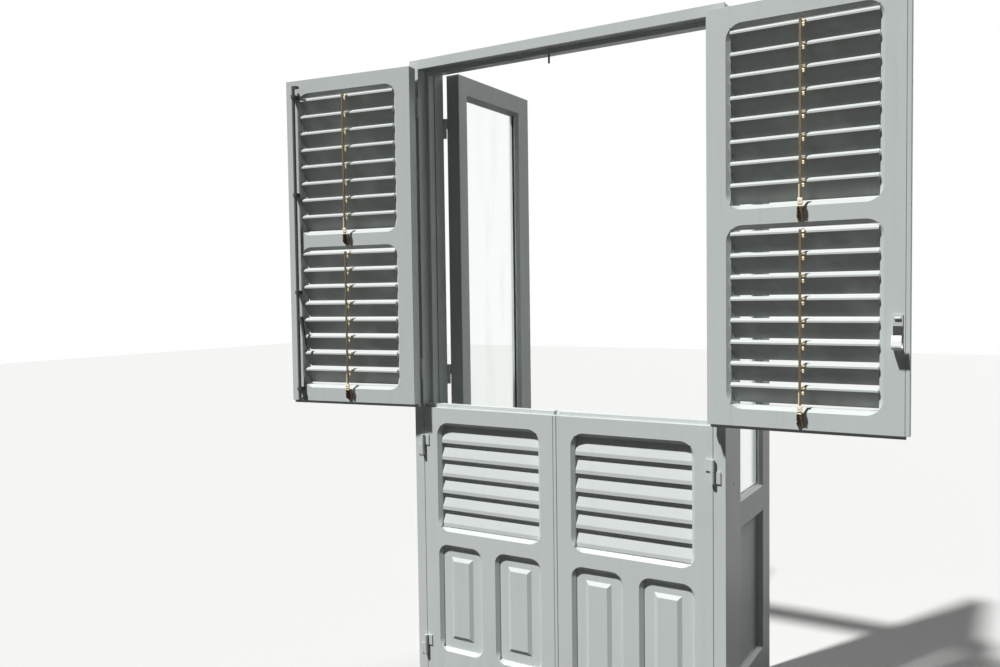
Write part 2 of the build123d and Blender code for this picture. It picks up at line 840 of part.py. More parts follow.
# The raised panels fill their openings
with BuildPart() as raised_panels:
    for x in panel_middles:
        with BuildSketch(street_plane(panel_recess)):
            with Locations((x, panel_middle_z)):
                Rectangle(panel_width, panel_room)
        extrude(amount=-panel_thickness)
        with BuildSketch(street_plane(panel_recess)):
            with Locations((x, panel_middle_z)):
                Rectangle(panel_width - 2 * field_margin, panel_room - 2 * field_margin)
        with BuildSketch(street_plane(panel_recess - field_rise)):
            with Locations((x, panel_middle_z)):
                Rectangle(
                    panel_width - 2 * (field_margin + field_bevel),
                    panel_room - 2 * (field_margin + field_bevel),
                )
        loft(ruled=True)

for side in ("left", "right"):
    pieces = {
        "frame": half_door_frame(side),
        "slats": [fixed_louvre.part],
        "panels": [raised_panels.part],
    }
    for name, parts in pieces.items():
        if side == "right":
            parts = [part.mirror(Plane.YZ) for part in parts]
        write_solids(f"half_door_{side}_{name}", parts)

# Casements, opened square into the room. The left one laps over the right one on the room side.
casement_axis_y = frame_depth + barrel_standoff
glass_left = leaf_x + casement_hinge_stile
glass_right = -casement_meeting_stile
glass_middle = (glass_left + glass_right) / 2
glass_width = glass_right - glass_left
panel_base = casement_bottom + casement_bottom_rail
glass_bottom = panel_base + casement_panel_height + casement_mid_rail
glass_top = casement_top - casement_top_rail
casement_back = casement_y + casement_thickness
casement_middle_y = casement_y + casement_thickness / 2
casement_edges = {"left": -seat_gap - casement_lap, "right": seat_gap - casement_gap}


def casement_leaf(side):
    """Stiles, rails, lapping strip and hinge halves of a casement, shut and left-handed."""
    edge = casement_edges[side]
    heights = ((glass_bottom, glass_top), (panel_base, panel_base + casement_panel_height))
    with BuildPart() as blank:
        with BuildSketch(Plane.XY.offset(casement_bottom)):
            add(leaf_plan(edge, casement_y, casement_thickness, side == "right"))
        extrude(amount=casement_top - casement_bottom)
        for low, high in heights:
            with BuildSketch(street_plane(casement_y)):
                with Locations((glass_middle, (low + high) / 2)):
                    Rectangle(glass_width - 2 * bead, high - low - 2 * bead)
            extrude(amount=-casement_thickness, mode=Mode.SUBTRACT)
            for y, inward in ((casement_y, 1), (casement_back, -1)):
                with BuildSketch(street_plane(y)):
                    with Locations((glass_middle, (low + high) / 2)):
                        Rectangle(glass_width, high - low)
                with BuildSketch(street_plane(y + inward * bead)):
                    with Locations((glass_middle, (low + high) / 2)):
                        Rectangle(glass_width - 2 * bead, high - low - 2 * bead)
                loft(ruled=True, mode=Mode.SUBTRACT)
    with BuildPart() as hinge_side:
        add(blank.part)
        split(bisect_by=Plane.YZ.offset(glass_left + bead), keep=Keep.BOTTOM)
    with BuildPart() as meeting_side:
        add(blank.part)
        split(bisect_by=Plane.YZ.offset(glass_right - bead), keep=Keep.TOP)
    with BuildPart() as rails:
        add(blank.part)
        split(bisect_by=Plane.YZ.offset(glass_left + bead), keep=Keep.TOP)
        split(bisect_by=Plane.YZ.offset(glass_right - bead), keep=Keep.BOTTOM)
    if side == "left":
        y_face, y_inside = casement_back, casement_y + casement_half
    else:
        y_face, y_inside = casement_y, casement_y + casement_half - seat_gap
    strip = meeting_strip(edge, y_face, y_inside, casement_lap, casement_bottom, casement_top)
    hinges = [leaf_hinge_half(frame_depth, 1, z) for z in casement_hinges]
    return [hinge_side.part, meeting_side.part, rails.part, strip] + hinges


with BuildPart() as pane:
    with BuildSketch(street_plane(casement_middle_y - glass_thickness / 2)):
        with Locations((glass_middle, (glass_bottom + glass_top) / 2)):
            Rectangle(glass_width - 2 * bead, glass_top - glass_bottom - 2 * bead)
    extrude(amount=-glass_thickness)

with BuildPart() as lower_panel:
    with BuildSketch(street_plane(casement_middle_y - lower_panel_thickness / 2)):
        with Locations((glass_middle, panel_base + casement_panel_height / 2)):
            Rectangle(glass_width - 2 * bead, casement_panel_height - 2 * bead)
    extrude(amount=-lower_panel_thickness)

for side in ("left", "right"):
    axis = Axis((hinge_x, casement_axis_y, 0), (0, 0, 1))
    for name, parts in (("frame", casement_leaf(side) + [lower_panel.part]), ("glass", [pane.part])):
        parts = [part.rotate(axis, casement_angle) for part in parts]
        if side == "right":
            parts = [part.mirror(Plane.YZ) for part in parts]
        write_solids(f"casement_{side}_{name}", parts)
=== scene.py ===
# %% [markdown]
# # A tall window with folded-back louvred shutters
# This is the look of a timber window that goes from floor to head: two shutters with moving
# slats, two panelled half doors below them, and glazed casements that open into the room.
# The solids come ready from the CAD, already in their places. Blender gives them paint, brass
# and glass, and makes again the pieces whose small forms matter: the slats with their staples,
# the tilt rods with their grips and the keeper of the bolt. The hinge screws are added.

# %% Load the frame
import json
import math

import bmesh
import bpy
from mathutils import Matrix, Vector


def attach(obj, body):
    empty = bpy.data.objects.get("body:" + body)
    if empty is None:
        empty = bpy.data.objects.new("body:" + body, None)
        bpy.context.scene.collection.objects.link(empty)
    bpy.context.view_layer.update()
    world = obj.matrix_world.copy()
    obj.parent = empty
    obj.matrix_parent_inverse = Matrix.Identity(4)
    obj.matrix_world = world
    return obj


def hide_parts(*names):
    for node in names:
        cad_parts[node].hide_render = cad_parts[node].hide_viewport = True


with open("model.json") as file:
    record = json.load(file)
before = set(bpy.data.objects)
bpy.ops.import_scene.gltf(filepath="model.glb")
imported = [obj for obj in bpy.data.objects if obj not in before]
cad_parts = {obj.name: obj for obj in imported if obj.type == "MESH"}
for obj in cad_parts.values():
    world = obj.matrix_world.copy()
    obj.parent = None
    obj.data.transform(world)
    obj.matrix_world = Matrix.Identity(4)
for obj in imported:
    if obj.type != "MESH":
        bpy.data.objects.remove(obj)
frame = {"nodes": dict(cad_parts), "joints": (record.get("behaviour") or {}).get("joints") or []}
nodes = frame["nodes"]
joints = {joint["name"]: joint for joint in frame["joints"]}
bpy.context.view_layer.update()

MM = 0.001
UP = Vector((0, 0, 1))

# %% [markdown]
# ## Small helpers
# An object and a material each start in one call. An effect that several finishes share, such
# as brush marks or grime, is a node group with named inputs, and the other helpers make the
# group, its sockets and its nodes in one line each, so that the recipe stays readable.


# %% Object, material and group helpers
def placed(name, data):
    """A new object in the scene."""
    item = bpy.data.objects.new(name, data)
    bpy.context.scene.collection.objects.link(item)
    return item


def new_material(name):
    """A material, its node tree and its Principled shader."""
    material = bpy.data.materials.new(name)
    material.use_nodes = True
    return material, material.node_tree, material.node_tree.nodes["Principled BSDF"]


def new_group(name, inputs, outputs):
    """A shader node group with (name, type, default) inputs and (name, type) outputs."""
    group = bpy.data.node_groups.new(name, "ShaderNodeTree")
    for label, kind, default in inputs:
        socket = group.interface.new_socket(label, in_out="INPUT", socket_type=kind)
        socket.default_value = default
    for label, kind in outputs:
        group.interface.new_socket(label, in_out="OUTPUT", socket_type=kind)
    return group, group.nodes.new("NodeGroupInput"), group.nodes.new("NodeGroupOutput")


def put(tree, kind, settings=None, **sockets):
    """Add a node, set its properties, and set or link its inputs.

    An input is named as its socket, with _ for a space, or by its number as i0, i1 and so on.
    """
    node = tree.nodes.new(kind)
    for key, value in (settings or {}).items():
        setattr(node, key, value)
    for key, value in sockets.items():
        numbered = key[0] == "i" and key[1:].isdigit()
        socket = node.inputs[int(key[1:]) if numbered else key.replace("_", " ")]
        if isinstance(value, bpy.types.NodeSocket):
            tree.links.new(value, socket)
        else:
            socket.default_value = value
    return node


def maths(tree, operation, a, b=0.0, clamp=False):
    """One Math node, as a value."""
    settings = {"operation": operation, "use_clamp": clamp}
    return put(tree, "ShaderNodeMath", settings, i0=a, i1=b).outputs[0]


def ramp(tree, value, low, high):
    """0 below low, 1 above high, straight between."""
    return put(tree, "ShaderNodeMapRange", {"clamp": True}, Value=value, From_Min=low,
               From_Max=high).outputs[0]


def vector(tree, **axes):
    """One Combine XYZ node, as a value."""
    return put(tree, "ShaderNodeCombineXYZ", **axes).outputs[0]


def blend_colour(tree, amount, a, b):
    """Mix two colours."""
    return put(tree, "ShaderNodeMix", {"data_type": "RGBA"}, i0=amount, i6=a, i7=b).outputs[2]


def stretched(tree, scale):
    """Object coordinates, stretched by scale along each axis."""
    place = put(tree, "ShaderNodeTexCoord").outputs["Object"]
    return put(tree, "ShaderNodeMapping", Vector=place, Scale=scale).outputs[0]


def noise(tree, stretch, scale, detail, roughness=0.5):
    """A noise on the stretched object coordinates, as a value."""
    return put(tree, "ShaderNodeTexNoise", Vector=stretched(tree, stretch), Scale=scale,
               Detail=detail, Roughness=roughness).outputs[0]


print("helpers ready")

# %% [markdown]
# ## The camera
# The photograph was taken from the street, a little to the right, almost level. A lens and a
# place that repeat its straight edges were worked out beforehand, so here they are plain
# numbers: a turn to the left, a slight look down and a slight lean.

# %% Camera
CAMERA_PLACE = Vector((1.3769, -2.6168, 1.467))
CAMERA_TURN = math.radians(31.277)
CAMERA_LOOK_DOWN = math.radians(2.408)
CAMERA_LEAN = math.radians(-0.768)
FOCAL_PIXELS = 870.0
PICTURE_WIDTH = 1000.0
SENSOR_WIDTH = 36.0

level_ahead = Vector((-math.sin(CAMERA_TURN), math.cos(CAMERA_TURN), 0))
level_right = Vector((math.cos(CAMERA_TURN), math.sin(CAMERA_TURN), 0))
ahead = level_ahead * math.cos(CAMERA_LOOK_DOWN) - UP * math.sin(CAMERA_LOOK_DOWN)
above = UP * math.cos(CAMERA_LOOK_DOWN) + level_ahead * math.sin(CAMERA_LOOK_DOWN)
camera_right = level_right * math.cos(CAMERA_LEAN) + above * math.sin(CAMERA_LEAN)
camera_up = above * math.cos(CAMERA_LEAN) - level_right * math.sin(CAMERA_LEAN)

camera = placed("camera", bpy.data.cameras.new("camera"))
camera.data.sensor_width = SENSOR_WIDTH
camera.data.lens = SENSOR_WIDTH * FOCAL_PIXELS / PICTURE_WIDTH
camera_axes = Matrix((camera_right, camera_up, -ahead)).transposed().to_4x4()
camera.matrix_world = Matrix.Translation(CAMERA_PLACE) @ camera_axes
bpy.context.scene.camera = camera
print("camera lens", round(camera.data.lens, 2), "mm")

# %% [markdown]
# ## Light, backdrop and floor
# Outdoors the window stands in high sun from the left, which draws every slat and bead. One
# broad sun lamp gives that direction with soft shadow edges, and a faint, even sky softens the
# shadows. A weaker, broader lamp from behind shows the room side, which the sun never reaches.
# Most faces on the street side point away from it. The white backdrop shows only to the camera,
# in reflections and through glass, so beyond that sheen it lights nothing.

# %% Light
SUN_DIRECTION = Vector((0.25, 0.48, -0.84))
SUN_STRENGTH = 5.15
SUN_SOFTNESS = math.radians(3.0)
SKY_STRENGTH = 0.035
ROOM_DIRECTION = Vector((-0.25, -0.80, -0.55))
ROOM_STRENGTH = 1.3
ROOM_SOFTNESS = math.radians(25.0)

for lamp_name, direction, strength, softness in (
    ("sun", SUN_DIRECTION, SUN_STRENGTH, SUN_SOFTNESS),
    ("room", ROOM_DIRECTION, ROOM_STRENGTH, ROOM_SOFTNESS),
):
    lamp = placed(lamp_name, bpy.data.lights.new(lamp_name, "SUN"))
    lamp.data.energy = strength
    lamp.data.angle = softness
    lamp.rotation_euler = direction.to_track_quat("-Z", "Y").to_euler()
bpy.context.scene.view_settings.view_transform = "Standard"


def seen_directly(tree):
    """1 for rays that show the backdrop: from the camera, off a gloss or through glass."""
    path = put(tree, "ShaderNodeLightPath").outputs
    seen = maths(tree, "MAXIMUM", path["Is Camera Ray"], path["Is Transmission Ray"])
    return maths(tree, "MAXIMUM", seen, path["Is Glossy Ray"])


world = bpy.data.worlds.new("pale sky")
world.use_nodes = True
bpy.context.scene.world = world
sky = world.node_tree
sky.nodes.clear()
sky_light = put(sky, "ShaderNodeBackground", Color=(0.93, 0.96, 1.0, 1), Strength=SKY_STRENGTH)
backdrop = put(sky, "ShaderNodeBackground", Color=(1, 1, 1, 1))
sky_mix = put(sky, "ShaderNodeMixShader", Fac=seen_directly(sky), i1=sky_light.outputs[0],
              i2=backdrop.outputs[0])
put(sky, "ShaderNodeOutputWorld", Surface=sky_mix.outputs[0])
print("sun", SUN_STRENGTH, "sky", SKY_STRENGTH)

# %% Floor
FLOOR_SIZE = 40.0
FLOOR_SEEN = (0.55, 0.55, 0.54, 1)
FLOOR_BOUNCE = (0.04, 0.04, 0.039, 1)

half_floor = FLOOR_SIZE / 2
floor_mesh = bpy.data.meshes.new("floor")
floor_mesh.from_pydata([(-half_floor, -half_floor, 0), (half_floor, -half_floor, 0),
                        (half_floor, half_floor, 0), (-half_floor, half_floor, 0)],
                       [], [(0, 1, 2, 3)])
floor = placed("floor", floor_mesh)
floor_paint, floor_tree, floor_shader = new_material("pale floor")
floor_colour = blend_colour(floor_tree, seen_directly(floor_tree), FLOOR_BOUNCE, FLOOR_SEEN)
floor_tree.links.new(floor_colour, floor_shader.inputs["Base Color"])
floor_shader.inputs["Roughness"].default_value = 0.9
floor_shader.inputs["Specular IOR Level"].default_value = 0.1
floor_mesh.materials.append(floor_paint)
print("floor", FLOOR_SIZE, "m")

# %% [markdown]
# ## Shared effects
# **Soft edges**: a real arris is never sharp. The Bevel node bends the normal within about a
# millimetre of an edge, and where the bent and the true normal differ, the surface is an edge.
# That gives a mask for worn paint at no extra cost.
#
# **Brush marks**: oil paint laid by brush keeps faint ridges and drags along the timber. Two
# stretched noises make them, one upright for stiles and one lying for rails and slats. The
# lying one is turned with the leaf, because a leaf that stands open carries its grain with it.
#
# ** Grime**: rain carries dirt down in soft streaks and splashes it on the lowest part. What faces
# down is darkened, partly by a film of road dust that rain never washes off and partly as painted
# shade. The mask reads the piece's own normal, so the darkening stays put when a slat is turned.

# %% Soft edges
EVEN = (1, 1, 1)

edges, edges_in, edges_out = new_group(
    "soft edges",
    [("Radius", "NodeSocketFloat", 0.0012), ("Reach", "NodeSocketFloat", 0.5)],
    [("Normal", "NodeSocketVector"), ("Edge", "NodeSocketFloat")],
)
rounded = put(edges, "ShaderNodeBevel", {"samples": 4}, Radius=edges_in.outputs["Radius"])
true_normal = put(edges, "ShaderNodeNewGeometry").outputs["True Normal"]
agreement = put(edges, "ShaderNodeVectorMath", {"operation": "DOT_PRODUCT"}, i0=rounded.outputs[0],
                i1=true_normal)
difference = maths(edges, "SUBTRACT", 1.0, agreement.outputs["Value"])
patchy = ramp(edges, noise(edges, EVEN, 90.0, 5.0), edges_in.outputs["Reach"], 0.78)
edge_mask = maths(edges, "MULTIPLY", ramp(edges, difference, 0.02, 0.12), patchy)
edges.links.new(edge_mask, edges_out.inputs["Edge"])
edges.links.new(rounded.outputs[0], edges_out.inputs["Normal"])
print("group:", edges.name)

# %% Brush marks
brush, brush_in, brush_out = new_group(
    "brush marks",
    [("Colour", "NodeSocketColor", (0.5, 0.5, 0.5, 1)), ("Variation", "NodeSocketFloat", 0.05),
     ("Roughness", "NodeSocketFloat", 0.4), ("Depth", "NodeSocketFloat", 0.00025),
     ("Lying", "NodeSocketFloat", 0.5), ("Turn", "NodeSocketFloat", 0.0),
     ("Normal", "NodeSocketVector", (0, 0, 0))],
    [("Colour", "NodeSocketColor"), ("Roughness", "NodeSocketFloat"),
     ("Normal", "NodeSocketVector")],
)
BRUSH_ACROSS = 420  # ridges for each metre, roughly, and how far each one runs
BRUSH_ALONG = 9
upright = noise(brush, (BRUSH_ACROSS, BRUSH_ACROSS, BRUSH_ALONG), 1.0, 4.0, 0.6)
lengthwise = put(brush, "ShaderNodeMapping", {"vector_type": "TEXTURE"},
                 Vector=stretched(brush, EVEN), Rotation=vector(brush, Z=brush_in.outputs["Turn"]),
                 Scale=(1 / BRUSH_ALONG, 1 / BRUSH_ACROSS, 1 / BRUSH_ACROSS))
lying = put(brush, "ShaderNodeTexNoise", Vector=lengthwise.outputs[0], Scale=1.0, Detail=4.0,
            Roughness=0.6)
marks = put(brush, "ShaderNodeMix", {"data_type": "FLOAT"}, i0=brush_in.outputs["Lying"],
            i2=upright, i3=lying.outputs[0]).outputs[0]
patches = noise(brush, EVEN, 6.0, 3.0)
shade = maths(brush, "ADD", maths(brush, "MULTIPLY", marks, 0.5),
              maths(brush, "MULTIPLY", patches, 0.5))
swing_of_tone = maths(brush, "MULTIPLY", maths(brush, "SUBTRACT", shade, 0.5),
                      brush_in.outputs["Variation"])
tone = maths(brush, "ADD", maths(brush, "MULTIPLY", swing_of_tone, 4.0), 1.0)
tinted = put(brush, "ShaderNodeVectorMath", {"operation": "SCALE"}, i0=brush_in.outputs["Colour"],
             Scale=tone)
ridge_gloss = maths(brush, "MULTIPLY", maths(brush, "SUBTRACT", marks, 0.5), 0.35)
rougher = maths(brush, "ADD", brush_in.outputs["Roughness"], ridge_gloss)
ridges = put(brush, "ShaderNodeBump", Strength=0.5, Distance=brush_in.outputs["Depth"],
             Height=marks, Normal=brush_in.outputs["Normal"])
brush.links.new(tinted.outputs[0], brush_out.inputs["Colour"])
brush.links.new(rougher, brush_out.inputs["Roughness"])
brush.links.new(ridges.outputs[0], brush_out.inputs["Normal"])
print("group:", brush.name)

# %% Grime
grime, grime_in, grime_out = new_group(
    "grime",
    [("Colour", "NodeSocketColor", (0.5, 0.5, 0.5, 1)), ("Roughness", "NodeSocketFloat", 0.4),
     ("Dirt", "NodeSocketColor", (0.16, 0.14, 0.11, 1)), ("Amount", "NodeSocketFloat", 0.3),
     ("DustAndShade", "NodeSocketColor", (0.20, 0.20, 0.19, 1)), ("Underside", "NodeSocketFloat", 0.5)],
    [("Colour", "NodeSocketColor"), ("Roughness", "NodeSocketFloat")],
)
streaks = noise(grime, (36, 36, 2.2), 1.0, 6.0, 0.6)
specks = noise(grime, EVEN, 140.0, 2.0)
place = put(grime, "ShaderNodeSeparateXYZ", Vector=stretched(grime, EVEN))
low_down = maths(grime, "SUBTRACT", 1.0, ramp(grime, place.outputs["Z"], 0.02, 0.35))
specked = maths(grime, "MULTIPLY", ramp(grime, specks, 0.60, 0.80), 0.5)
splash = maths(grime, "MULTIPLY", low_down, ramp(grime, streaks, 0.35, 0.75))
run_down = maths(grime, "MAXIMUM", ramp(grime, streaks, 0.52, 0.80), specked)
dirt = maths(grime, "MULTIPLY", maths(grime, "ADD", run_down, splash, clamp=True),
             grime_in.outputs["Amount"], clamp=True)
# What faces down is darkened: part a film of road dust, part painted shade.
own_normal = put(grime, "ShaderNodeTexCoord").outputs["Normal"]
rise = put(grime, "ShaderNodeSeparateXYZ", Vector=own_normal).outputs["Z"]
underneath = ramp(grime, maths(grime, "MULTIPLY", rise, -1.0), 0.15, 0.6)
cloudy = ramp(grime, noise(grime, EVEN, 9.0, 4.0), 0.1, 0.55)
dust_and_shade = maths(grime, "MULTIPLY", maths(grime, "MULTIPLY", underneath, cloudy),
             grime_in.outputs["Underside"], clamp=True)
dust_and_shade_colour = blend_colour(grime, dust_and_shade, grime_in.outputs["Colour"], grime_in.outputs["DustAndShade"])
soiled_colour = blend_colour(grime, dirt, dust_and_shade_colour, grime_in.outputs["Dirt"])
duller = maths(grime, "ADD", grime_in.outputs["Roughness"], maths(grime, "MULTIPLY", dirt, 0.5),
               clamp=True)
grime.links.new(soiled_colour, grime_out.inputs["Colour"])
grime.links.new(duller, grime_out.inputs["Roughness"])
print("group:", grime.name)

# %% [markdown]
# ## The finishes
# Frame, leaves and slats share a pale grey oil paint with a slight green in it, half glossy and
# a touch darker on the casements. The hinges were painted over with it and chip to dark metal,
# and the turning bolt is black iron. The tilt rods and catches are brass that has gone brown in
# the weather. The staples and grips, which are worked every day, stay bright. The darkening of
# undersides, part road dust and part painted shade, is the same on all painted faces.


# %% Paint on timber and iron
# The underside darkening is part road dust and part painted shade. Its amount is set against the
# shaded slats, so on them it is mostly painted shade for light that these lamps let reach them.
UNDERSIDE_DUST_AND_SHADE = 0.62
PAINT_SPECULAR = 0.28


def painted(name, colour, roughness, variation, bare, wear_reach, dirt_amount, depth,
            radius=0.0012, lying=0.5, turn=0.0):
    """A brushed oil paint whose edges wear through to what is under it."""
    material, tree, shader = new_material(name)
    soft = put(tree, "ShaderNodeGroup", {"node_tree": edges}, Radius=radius, Reach=wear_reach)
    film = put(tree, "ShaderNodeGroup", {"node_tree": brush}, Colour=(*colour, 1),
               Variation=variation, Roughness=roughness, Depth=depth, Lying=lying, Turn=turn,
               Normal=soft.outputs["Normal"])
    worn = blend_colour(tree, soft.outputs["Edge"], film.outputs["Colour"], (*bare, 1))
    # The grime darkens the undersides with road dust and painted shade.
    soiled = put(tree, "ShaderNodeGroup", {"node_tree": grime}, Colour=worn,
                 Roughness=film.outputs["Roughness"], Amount=dirt_amount,
                 Underside=UNDERSIDE_DUST_AND_SHADE)
    tree.links.new(soiled.outputs["Colour"], shader.inputs["Base Color"])
    tree.links.new(soiled.outputs["Roughness"], shader.inputs["Roughness"])
    tree.links.new(film.outputs["Normal"], shader.inputs["Normal"])
    shader.inputs["Specular IOR Level"].default_value = PAINT_SPECULAR
    return material


PAINT = (0.54, 0.58, 0.565)
SLAT_PAINT = (0.55, 0.585, 0.57)
ROOM_PAINT = (0.50, 0.535, 0.52)
IRON_PAINT = (0.52, 0.55, 0.54)
# Both in the order of painted(): colour, roughness, variation, bare, reach, dirt, depth.
TIMBER_FILM = (PAINT, 0.40, 0.03, (0.62, 0.60, 0.54), 0.62, 0.08, 0.00022)
SLAT_FILM = (SLAT_PAINT, 0.38, 0.035, (0.63, 0.61, 0.55), 0.60, 0.08, 0.00022)

leaf_turns = {}
for side in ("left", "right"):
    across = Vector(joints[f"shutter_{side}_upper_slat_1_pivot"]["axis"])
    leaf_turns[side] = math.atan2(across.y, across.x)
timber_paint = painted("timber paint", *TIMBER_FILM)
louvre_paint = painted("fixed louvre paint", *SLAT_FILM, lying=1.0)
leaf_paint = {side: painted(f"{side} shutter paint", *TIMBER_FILM, turn=turn)
              for side, turn in leaf_turns.items()}
slat_paint = {side: painted(f"{side} slat paint", *SLAT_FILM, lying=1.0, turn=turn)
              for side, turn in leaf_turns.items()}
sill_paint = painted("sill paint", PAINT, 0.5, 0.05, (0.42, 0.38, 0.31), 0.58, 0.16, 0.0003,
                     lying=1.0)
room_paint = painted("casement paint", ROOM_PAINT, 0.42, 0.03, (0.5, 0.46, 0.4), 0.66, 0.12,
                     0.0002)
iron_paint = painted("painted iron", IRON_PAINT, 0.4, 0.05, (0.07, 0.06, 0.05), 0.56, 0.2, 0.0002,
                     0.0008)
print("leaf turns:", {side: round(math.degrees(turn), 1) for side, turn in leaf_turns.items()})


# %% Brass and blackened iron
def metal(name, colour, tarnish, roughness, bare_amount, metallic=1.0):
    """A metal that keeps a pale rub on its edges and is dull and dark between them."""
    material, tree, shader = new_material(name)
    soft = put(tree, "ShaderNodeGroup", {"node_tree": edges}, Radius=0.0005, Reach=bare_amount)
    mottle = noise(tree, EVEN, 220.0, 5.0, 0.65)
    dull = ramp(tree, mottle, 0.34, 0.66)
    aged = blend_colour(tree, dull, (*colour, 1), (*tarnish, 1))
    rubbed = blend_colour(tree, soft.outputs["Edge"], aged, (*colour, 1))
    rough = maths(tree, "ADD", maths(tree, "MULTIPLY", dull, 0.25), roughness)
    bare = maths(tree, "SUBTRACT", metallic, maths(tree, "MULTIPLY", dull, 0.45), clamp=True)
    pits = put(tree, "ShaderNodeBump", Strength=0.4, Distance=0.0003, Height=mottle,
               Normal=soft.outputs["Normal"])
    tree.links.new(rubbed, shader.inputs["Base Color"])
    tree.links.new(rough, shader.inputs["Roughness"])
    tree.links.new(bare, shader.inputs["Metallic"])
    tree.links.new(pits.outputs[0], shader.inputs["Normal"])
    return material


rod_brass = metal("weathered brass", (0.20, 0.15, 0.075), (0.095, 0.07, 0.035), 0.46, 0.5, 0.7)
grip_brass = metal("handled brass", (0.14, 0.10, 0.06), (0.06, 0.042, 0.026), 0.42, 0.5, 0.6)
staple_brass = metal("rubbed brass", (0.90, 0.83, 0.62), (0.62, 0.53, 0.34), 0.3, 0.35)
dark_iron_and_slot_shade = metal("blackened iron and slot shade", (0.10, 0.10, 0.097), (0.025, 0.026, 0.025), 0.42, 0.5, 0.5)
print("metals:", [m.name for m in (rod_brass, grip_brass, staple_brass, dark_iron_and_slot_shade)])

# %% [markdown]
# Window glass is clear, with a very slight green and a few old drips. The thickness is real in
# the solid, so a plain transmission is enough, and a faint wave in the normal keeps the
# reflection from looking like plastic.

# %% Glass
glass, glass_tree, glass_shader = new_material("window glass")
glass_shader.inputs["Transmission Weight"].default_value = 1.0
glass_shader.inputs["IOR"].default_value = 1.45
smear = ramp(glass_tree, noise(glass_tree, (14, 14, 3), 1.0, 4.0), 0.5, 0.75)
tint = blend_colour(glass_tree, smear, (0.93, 0.97, 0.96, 1), (0.86, 0.88, 0.86, 1))
waved = put(glass_tree, "ShaderNodeBump", Strength=0.15, Distance=0.001,
            Height=noise(glass_tree, (5, 5, 5), 1.0, 1.0))
glass_tree.links.new(tint, glass_shader.inputs["Base Color"])
glass_tree.links.new(maths(glass_tree, "MULTIPLY", smear, 0.04), glass_shader.inputs["Roughness"])
glass_tree.links.new(waved.outputs[0], glass_shader.inputs["Normal"])
print("glass ready")

# %% [markdown]
# ## Finishes on the CAD pieces
# Stiles, rails, panels, jambs, hinges, catches and the turning bolt keep their CAD solids, whose
# outlines are already true. Each only gets its finish.


# %% Give each solid its finish
def finish_for(name):
    """The finish of a CAD node, by what it is."""
    if name.endswith("glass"):
        return glass
    if name == "threshold":
        return sill_paint
    if name.startswith("casement"):
        return room_paint
    if name.startswith("espagnolette") or name == "head_striker":
        return dark_iron_and_slot_shade
    if name in ("frame_hinges", "bolt_keeper"):
        return iron_paint
    if name.endswith("catches"):
        return grip_brass
    if name.startswith("half_door") and name.endswith("slats"):
        return louvre_paint
    for side in ("left", "right"):
        if name == f"shutter_{side}_frame":
            return leaf_paint[side]
    return timber_paint


for node_name, node in nodes.items():
    node.data.materials.clear()
    node.data.materials.append(finish_for(node_name))
print("finished", len(nodes), "nodes")

# %% [markdown]
# ## A kit for Geometry Nodes
# A small helper makes a tree with named inputs, and another puts it on a start mesh, sets the
# inputs by their identifiers, and turns the result into a plain mesh.


# %% Geometry Nodes helpers
def new_tree(name, inputs):
    """A geometry tree with a Geometry input and output and (name, type, default) inputs."""
    tree = bpy.data.node_groups.new(name, "GeometryNodeTree")
    tree.interface.new_socket("Geometry", in_out="INPUT", socket_type="NodeSocketGeometry")
    for label, kind, default in inputs:
        socket = tree.interface.new_socket(label, in_out="INPUT", socket_type=kind)
        if default is not None:
            socket.default_value = default
    tree.interface.new_socket("Geometry", in_out="OUTPUT", socket_type="NodeSocketGeometry")
    result = tree.nodes.new("NodeGroupOutput").inputs["Geometry"]
    return tree, tree.nodes.new("NodeGroupInput").outputs, result


def real(tree, geometry):
    """A geometry with its instances made real."""
    return put(tree, "GeometryNodeRealizeInstances", Geometry=geometry).outputs[0]


def drawn(tree, source):
    """The geometry of an object input."""
    return put(tree, "GeometryNodeObjectInfo", Object=source).outputs["Geometry"]


def copies(tree, points, instance, **more):
    """One instance of a geometry on each point."""
    return put(tree, "GeometryNodeInstanceOnPoints", Points=points, Instance=instance,
               **more).outputs[0]


def marked(tree, geometry, name):
    """Make a geometry real and mark all its faces, by which a finish finds them."""
    return put(tree, "GeometryNodeStoreNamedAttribute", {"data_type": "BOOLEAN", "domain": "FACE"},
               Geometry=real(tree, geometry), Name=name, Value=True).outputs[0]


def finished(tree, geometry, material, mark, unmarked=False):
    """Set a material on the faces with a mark, or on those without it."""
    found = put(tree, "GeometryNodeInputNamedAttribute", {"data_type": "BOOLEAN"}, Name=mark)
    found = found.outputs[0]
    if unmarked:
        found = put(tree, "FunctionNodeBooleanMath", {"operation": "NOT"}, i0=found).outputs[0]
    return put(tree, "GeometryNodeSetMaterial", Geometry=geometry, Selection=found,
               Material=material).outputs[0]


def mesh_of(shape, name):
    """A mesh out of a bmesh, which is freed."""
    mesh = bpy.data.meshes.new(name)
    shape.to_mesh(mesh)
    shape.free()
    return mesh


def identifiers(tree):
    """The identifier of each named input of a tree."""
    return {item.name: item.identifier for item in tree.interface.items_tree
            if item.item_type == "SOCKET" and item.in_out == "INPUT"}


def grow(name, start_mesh, tree, values, place=None):
    """Run a tree on a start mesh and return a plain object, with its place in its mesh."""
    carrier = placed(name + "_start", start_mesh)
    modifier = carrier.modifiers.new("tree", "NODES")
    modifier.node_group = tree
    keys = identifiers(tree)
    for label, value in values.items():
        modifier[keys[label]] = value
    bpy.context.view_layer.update()
    evaluated = carrier.evaluated_get(bpy.context.evaluated_depsgraph_get())
    mesh = bpy.data.meshes.new_from_object(evaluated)
    carrier.modifiers.remove(modifier)
    bpy.data.objects.remove(carrier)
    if place is not None:
        mesh.transform(place)
    mesh.name = name
    return placed(name, mesh)


